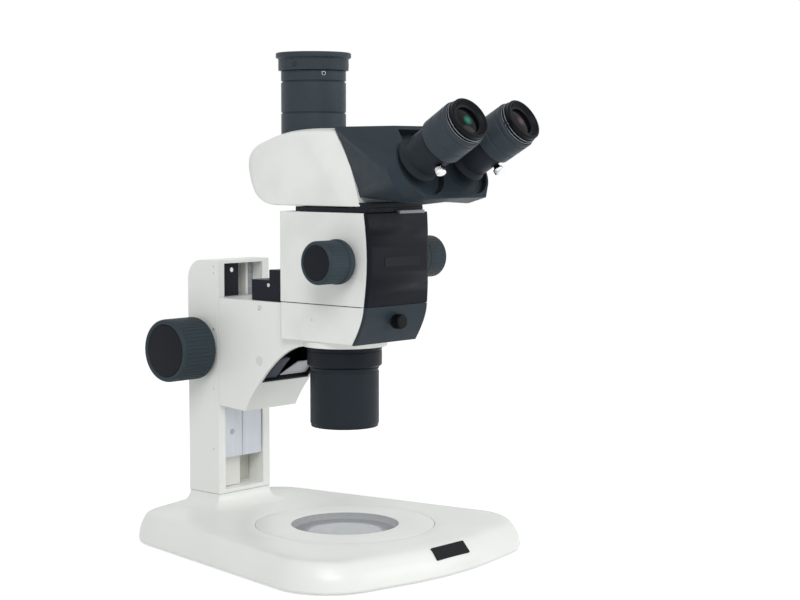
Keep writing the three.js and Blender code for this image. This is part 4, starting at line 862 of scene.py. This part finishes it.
def make_objective():
    ring, barrel, lens = (Upright(f"objective_{part}") for part in ("mount_ring", "barrel", "front_lens"))
    r, low, high = ring.radius, ring.bottom, ring.top
    profile = [
        (MOUNT_BORE, low), (r - 1.6, low), (r, low + 1.6), (r, high - 4.4), (r - 0.6, high - 4),
        (r - 0.6, high - 3.4), (r, high - 3), (r, high), (MOUNT_BORE, high),
    ]
    piece = turned("objective_socket", profile, "black_paint", ring.line, segments=144, closed=True)
    stands_for(piece, "objective_mount_ring")
    r, low, high, groove = barrel.radius, barrel.bottom, barrel.top, BARREL_GROOVE
    profile = [
        (r - 4.2, low + 0.4), (r - 2.4, low), (r - 0.8, low), (r - 0.5, low + 2.4), (r, low + 3.2),
        (r, groove), (r - 0.7, groove + 0.6), (r - 0.7, groove + 1.8), (r, groove + 2.4), (r, groove + 4),
        (25.1, groove + 4), (25.1, high), (22.4, high), (22.4, low + 9), (24.4, low + 8), (24.4, low + 2.6),
    ]
    piece = turned("objective_body", profile, "slate_paint", barrel.line,
                   rounds=0.35, segments=160, closed=True)
    stands_for(piece, "objective_barrel")
    r, shoulder = lens.radius, lens.top - 2
    angle = np.linspace(0, np.pi / 2, 14)
    cap = np.stack([r * np.sin(angle), shoulder - (shoulder - lens.bottom) * np.cos(angle)], 1)
    profile = np.concatenate([cap, [(r, lens.top), (0, lens.top)]])
    # painted reflection of the coating: a blue tint at the middle of the front lens
    glass = coated_lens("objective coating", (24, 46, 58), (0, AXIS_Y, lens.bottom), r)
    piece = turned("objective_glass", profile, glass, lens.line, rounds=None, segments=96)
    stands_for(piece, "objective_front_lens")


# ---------- head
HEAD_HALF = 39.0
HEAD_SHOULDER = 11  # each side falls in by this much over the shoulder
HEAD_SIDE = [
    (-53.4, 309.3), (58, 309.3), (75.5, 316.2), (84.5, 331.1), (88, 349.8), (78, 361.8),
    (38.4, 374.2), (10, 376.5), (-20.4, 376.5), (-37.7, 349.2), (-46.4, 328.2),
]
HEAD_ROUNDS = [1, 8, 10, 10, 9, 12, 16, 10, 1, 6, 6]
HEAD_MIDDLE = np.array([12.0, 345.0])
CREASE = [(10, 374.8, 39), (-37.5, 315.4, 39), (-20.4, 376.5, 33)]  # Y, Z and half width of the leaning flank
CREASE_SOFT = 1.2
CHIN_ENDS = (308.6, 313.4)


def filled(outline, longest):
    """Closed outline with points put into every stretch longer than the given length."""
    made = []
    for start, end in zip(outline, np.roll(outline, -1, 0)):
        steps = max(1, math.ceil(np.linalg.norm(end - start) / longest))
        made += [start + (end - start) * k / steps for k in range(steps)]
    return np.array(made)


def make_head():
    """Side outline carried across, its shoulders elliptical.

    At an angle t on the shoulder the outline is squeezed by 1 - sin t and stands out to
    half - HEAD_SHOULDER (1 - cos t). In front of the crease the flank leans in to the plane through
    the three CREASE points: by hypot(s, c) - c at a depth s past the plane, with c = CREASE_SOFT.
    """
    side = filled(eased(HEAD_SIDE, HEAD_ROUNDS, 7, closed=True), 2.5)
    first, second, third = (np.array(p, float) for p in CREASE)
    normal = np.cross(second - first, third - first)

    def squeezed(share):
        """Outline drawn in at its rear by 12 share, at its top by 5 share and at its foot by share."""
        y, z = side.T
        rear = np.clip((y - 20) / 68, 0, 1) ** 2
        top, foot = np.clip((z - 340) / 36.5, 0, 1) ** 2, np.clip((325 - z) / 16, 0, 1)
        return np.column_stack([y - 12 * share * rear, z - 5 * share * top + share * foot])

    def leaning(flat):
        inward = ((flat - first[:2]) @ normal[:2]) / normal[2] + CREASE_SOFT
        return np.where(inward > 0, np.hypot(inward, CREASE_SOFT) - CREASE_SOFT, 0)

    def row(flat, sign, fall=0.0):
        return np.column_stack([sign * (HEAD_HALF - fall - leaning(flat)), AXIS_Y + flat[:, 0], flat[:, 1]])

    def shoulder(t, sign):
        return row(squeezed(1 - math.sin(t)), sign, HEAD_SHOULDER * (1 - math.cos(t)))

    def flank(sign):
        """Rows that close the flank: the outline drawn towards its middle, always under the leaning plane."""
        rim = squeezed(1)
        return [row(rim * (1 - share) + HEAD_MIDDLE * share, sign) for share in np.linspace(0.03, 0.999, 36)]

    swings = np.linspace(0, np.pi / 2, 9)
    left, right = [shoulder(t, -1) for t in swings], [shoulder(t, 1) for t in swings[::-1]]
    grid = flank(-1)[::-1] + left + right + flank(1)
    shell = surface("head_cover", np.array(grid), "white_cover", sharp=50)
    stands_for(shell, "head_shell")
    softened("head_neck", 0.6)
    outline = arc_outline(rectangle(-36.5, AXIS_Y - 60.6, 36.5, AXIS_Y - 49), 2.5, 5)
    chin = slab("head_chin", outline, *CHIN_ENDS, "black_paint", 0.4)
    fitted(chin, "carriage", "black_paint")
    softened("binocular_housing", 1.5, sharp=45)


TUBE_BORE, COLLAR_BORE = 24.5, 20.5
COLLAR_SCREWS = [  # angle, height, distance from the tube's line, finish
    (192.8, 432.5, 31.2, CAP_BLACK), (72.8, 432.5, 31.2, CAP_BLACK),
    (-47.2, 432.5, 31.2, CAP_BLACK), (242.5, 424.6, 29.1, SCREW_STEEL),
]


def make_phototube():
    tube, collar, cap = (Upright(node) for node in ("phototube", "phototube_collar", "dust_cap"))
    r, low, shoulder = tube.radius, tube.bottom, tube.top

    def groove(z, depth, width):
        return [(r, z - width), (r - depth, z - width * 0.5), (r - depth, z + width * 0.5), (r, z + width)]

    profile = [
        (TUBE_BORE, low), (r, low), *groove(390.5, 0.9, 0.8), *groove(418, 1.1, 0.9),
        (r, shoulder), (TUBE_BORE, shoulder),
    ]
    piece = turned("photo_tube", profile, TUBE_GREY, tube.line, rounds=0.25, segments=144, closed=True)
    stands_for(piece, "phototube")
    outer, flange, top = r + 2.4, collar.radius, collar.top
    foot, fit, lip = shoulder - 13, TUBE_BORE - 0.4, shoulder + 0.3
    profile = [
        (COLLAR_BORE, foot), (fit, foot), (fit, lip), (outer, lip), (outer, top - 5.4),
        (flange, top - 4.4), (flange, top - 0.8), (flange - 0.8, top), (COLLAR_BORE, top),
    ]
    piece = turned("photo_collar", profile, TUBE_GREY, collar.line, rounds=0.6, segments=144, closed=True)
    stands_for(piece, "phototube_collar")
    r, low, high = cap.radius, cap.bottom, cap.top
    profile = [
        (0, low + 5), (r - 2.6, low + 5), (r - 2.6, low), (r, low),
        (r, high - 0.6), (r - 1.6, high - 0.2), (r - 3, high - 1), (0, high - 1),
    ]
    piece = turned("cap_lid", profile, "black_plastic", cap.line, segments=96)
    stands_for(piece, "dust_cap")
    socket = [(0, -1.6), (1.9, -1.6), (1.9, 0.4), (1.4, 0.45), (1.3, -0.6), (0, -0.6)]
    for number, (angle, z, out, material) in enumerate(COLLAR_SCREWS, 1):
        way = np.array([math.cos(math.radians(angle)), math.sin(math.radians(angle)), 0])
        at = collar.line + way * (out - 0.35) + (0, 0, z)
        hole = turned(f"collar_screw_{number}", socket, material, at, way, rounds=0.12, steps=3, segments=28)
        fitted(hole, "carriage", "black_plastic")


# ---------- eyepieces
TILT, TOE = math.radians(30), math.radians(3.5)
SWING_AXIS = np.array([0, -math.cos(TILT), math.sin(TILT)])
CUP_PLACE = (28, -114.2, 342.6)
EYE_PLACE = (34.7, -172.6, 383.3)
CLAMP_DISTANCE, CLAMP_TURN = 46.5, math.radians(14)  # down the tube from the eye, and round it
# colours of the painted coating reflection in each eye lens
EYE_REFLECTION_TINT = {"left": (34, 128, 106), "right": (96, 62, 84)}


def tube_axis(sign):
    way = np.array([sign * math.sin(TOE) * math.cos(TILT), -math.cos(TOE) * math.cos(TILT), math.sin(TILT)])
    return way / np.linalg.norm(way)


def make_eyepiece(side, sign):
    axis = tube_axis(sign)
    eye, cup = (model(sign * x, y, z) for x, y, z in (EYE_PLACE, CUP_PLACE))
    body = BODY_OF[f"eyepiece_tube_{side}"]

    def on_tube(name, profile, material, rounds, segments=128, sharp=35.0):
        return turned(name, profile, material, eye, axis, rounds, segments=segments, closed=True, sharp=sharp)

    tube = [(15.3, -66.2), (18, -66.2), (18, -40.2), (17.6, -39.6), (17.6, -38), (15.3, -38)]
    stands_for(on_tube(f"tube_{side}", tube, "slate_paint", 0.2), f"eyepiece_tube_{side}")
    disc = [(0, -9), (24.7, -9), (24.7, -5.4), (24.1, -4.6), (21.5, -4.4), (20.9, -4.9), (0, -4.9)]
    plate = turned(f"tube_carrier_{side}", disc, "slate_plastic", cup, SWING_AXIS,
                   rounds=0.3, segments=128)
    fitted(plate, body, "slate_plastic", f"eyepiece_tube_{side}")
    fillet = [(15.4, -68), (20.2, -68), (19.2, -66.4), (18.4, -64.6), (18.05, -62.6), (15.4, -62.6)]
    fitted(on_tube(f"tube_root_{side}", fillet, "slate_paint", 0.4), body, "slate_paint")
    # thin bright ring at the carrier's rim: a painted highlight along its edge
    rim = [(23.9, -5.6), (24.75, -5.6), (24.75, -4.9), (23.9, -4.7)]
    lip = turned(f"carrier_rim_glint_{side}", rim, GLINT_AND_SCREW_METAL, cup, SWING_AXIS, 0.1, 3, 128, closed=True)
    fitted(lip, body, "steel")

    barrel = [
        (13.4, -60), (14.9, -60), (14.9, -37.7), (20.0, -37.7), (20.5, -37.2), (20.5, -27.5),
        (20.1, -27), (20.1, -26.4), (20.5, -25.9), (20.5, -14.6), (20.0, -14.1), (20.0, -13.1),
        (20.5, -12.6), (20.5, -10.2), (19.7, -9), (13.4, -9),
    ]
    grip = on_tube(f"eyepiece_barrel_{side}", barrel, TUBE_GREY, 0.22, 360, sharp=50)
    stands_for(grip, f"eyepiece_{side}")
    guard = [
        (11.6, -8.7), (18.9, -8.7), (18.9, -7.6), (18.4, -7.1), (18.4, -6.4),
        (18.9, -5.9), (18.9, -5.2), (17.7, -4.8), (18.3, -4.2), (18.3, -1),
        (17.4, -0.1), (16.1, -0.1), (15.6, -1.2), (13.6, -3.4), (11.6, -3.8),
    ]
    ring = on_tube(f"dioptre_{side}", guard, "black_plastic", 0.25, 160)
    stands_for(ring, f"dioptre_ring_{side}")
    # two thin bright rings on the dioptre ring's edges: painted highlights
    for number, (r, low) in enumerate(((19.05, -8.5), (18.98, -5.9)), 1):
        line = [(18, low), (r, low), (r, low + 0.45), (18, low + 0.45)]
        glint = on_tube(f"dioptre_glint_{side}_{number}", line, GLINT_AND_SCREW_METAL, 0.1, 160)
        fitted(glint, BODY_OF[f"dioptre_ring_{side}"], "steel")
    swell = np.linspace(0, 1, 9)
    front = np.stack([11.3 * (1 - swell**2), -5.3 + 1.1 * (1 - (1 - swell**2) ** 2)], 1)
    lens_profile = np.concatenate([[(0, -13.6), (11.3, -12.8)], front])
    glass = coated_lens(f"eye lens coating {side}", EYE_REFLECTION_TINT[side], eye - axis * 4.6, 4.8)
    lens = turned(f"eye_glass_{side}", lens_profile, glass, eye, axis, rounds=None, segments=96)
    stands_for(lens, f"eye_lens_{side}")

    across = np.cross(axis, [1, 0, 0])
    upward = across / np.linalg.norm(across) * np.sign(across[2])
    aside = np.array([sign, 0, 0]) - sign * axis[0] * axis
    aside /= np.linalg.norm(aside)
    screw_axis = -math.cos(CLAMP_TURN) * upward + math.sin(CLAMP_TURN) * aside
    at = eye - axis * CLAMP_DISTANCE
    stem = [(0, 15.7), (2.6, 15.7), (2.6, 19.4), (3.1, 19.6), (3.1, 20.6), (0, 20.6)]
    piece = turned(f"clamp_stem_{side}", stem, "black_plastic", at, screw_axis, 0.15, 3, 36)
    fitted(piece, f"thumb_screw_{side}", "black_plastic")
    head = [(0, 20.2), (3.6, 20.2), (4.5, 20.9), (4.5, 25), (3.9, 25.8), (2.4, 25.9), (0, 26)]
    piece = turned(f"clamp_head_{side}", head, "chrome", at, screw_axis, segments=120,
                   ripple=ribs(20, 0.06, 20.9, 25), sharp=50)
    stands_for(piece, f"thumb_screw_{side}")


def make_light_bar():
    """Pale bar on the top edge of the upper front panel."""
    outline = arc_outline(rectangle(1, 303.6, 33, 306.4), 0.5, 4)
    front_plate("status_bar", outline, ((6.4, 0), (1.5, 0), (1.2, 0.3)), LIGHT_BAR, "slate_plastic")


# ---------- light, floor, background
WORLD_LEVEL = 0.5
FLOOR_LIFT = 0.48  # glow of the paper for the camera, so that only the shadow darkens it
FLOOR_RINGS = (1e-4, 0.5, 2.2)
FLOOR_SIDES = 96
LAMP_TARGET = (0, 0, 0.2)


def camera_sees(tree, seen, lit):
    """Mix of two shader outputs: seen for the camera, gloss and glass, lit for all other light."""
    rays = tree.nodes.new("ShaderNodeLightPath")
    looked_at = rays.outputs["Is Camera Ray"]
    for kind in ("Is Glossy Ray", "Is Transmission Ray"):
        either = tree.nodes.new("ShaderNodeMath")
        either.operation = "MAXIMUM"
        tree.links.new(looked_at, either.inputs[0])
        tree.links.new(rays.outputs[kind], either.inputs[1])
        looked_at = either.outputs[0]
    mix = tree.nodes.new("ShaderNodeMixShader")
    tree.links.new(looked_at, mix.inputs["Fac"])
    tree.links.new(lit, mix.inputs[1])
    tree.links.new(seen, mix.inputs[2])
    return mix.outputs[0]


def make_world():
    world = bpy.data.worlds.new("studio")
    bpy.context.scene.world = world
    world.use_nodes = True
    tree = world.node_tree
    tree.nodes.clear()
    seen, lit = tree.nodes.new("ShaderNodeBackground"), tree.nodes.new("ShaderNodeBackground")
    seen.inputs["Color"].default_value = (1, 1, 1, 1)
    seen.inputs["Strength"].default_value = 1.0
    lit.inputs["Color"].default_value = (0.97, 0.985, 1, 1)
    lit.inputs["Strength"].default_value = WORLD_LEVEL
    output = tree.nodes.new("ShaderNodeOutputWorld")
    tree.links.new(camera_sees(tree, seen.outputs[0], lit.outputs[0]), output.inputs["Surface"])


def make_lamp(name, place, size, power):
    data = bpy.data.lights.new(name, "AREA")
    data.shape = "DISK"
    data.size = size
    data.energy = power
    lamp = bpy.data.objects.new(name, data)
    lamp.location = place
    aim = Vector(LAMP_TARGET) - Vector(place)
    lamp.rotation_euler = aim.to_track_quat("-Z", "Y").to_euler()
    bpy.context.scene.collection.objects.link(lamp)


def make_floor():
    """Disc under the feet: white for the camera where light falls, darker where the object shades it."""
    angle = np.linspace(0, 2 * np.pi, FLOOR_SIDES, endpoint=False)
    radius = np.array(FLOOR_RINGS)[:, None]
    grid = np.stack([radius * np.cos(angle), radius * np.sin(angle), 0 * radius * angle], -1)
    mesh = bpy.data.meshes.new("floor")
    mesh.from_pydata(grid.reshape(-1, 3).tolist(), [], grid_faces(*grid.shape[:2], False).tolist())
    floor = bpy.data.objects.new("floor", mesh)
    bpy.context.scene.collection.objects.link(floor)
    material = bpy.data.materials.new("floor paper")
    material.use_nodes = True
    tree = material.node_tree
    shader = tree.nodes["Principled BSDF"]
    shader.inputs["Base Color"].default_value = (0.92, 0.92, 0.92, 1)
    shader.inputs["Roughness"].default_value = 0.9
    glow = tree.nodes.new("ShaderNodeEmission")
    glow.inputs["Strength"].default_value = FLOOR_LIFT
    both = tree.nodes.new("ShaderNodeAddShader")
    tree.links.new(shader.outputs[0], both.inputs[0])
    tree.links.new(glow.outputs[0], both.inputs[1])
    output = tree.nodes["Material Output"]
    tree.links.new(camera_sees(tree, both.outputs[0], shader.outputs[0]), output.inputs["Surface"])
    mesh.materials.append(material)


make_base()
make_stage()
make_feet()
make_base_fittings()
make_column()
make_focus_knobs()
make_zoom_knobs()
make_carriage()
make_body()
make_objective()
make_head()
make_phototube()
for eye_side, eye_sign in SIDES:
    make_eyepiece(eye_side, eye_sign)
make_light_bar()

make_world()
make_lamp("key light", (-1.6, -1.5, 1.9), 1.6, 32)
make_lamp("fill light", (1.4, -1.9, 1.0), 1.8, 15)
make_floor()
bpy.context.scene.view_settings.view_transform = "Standard"
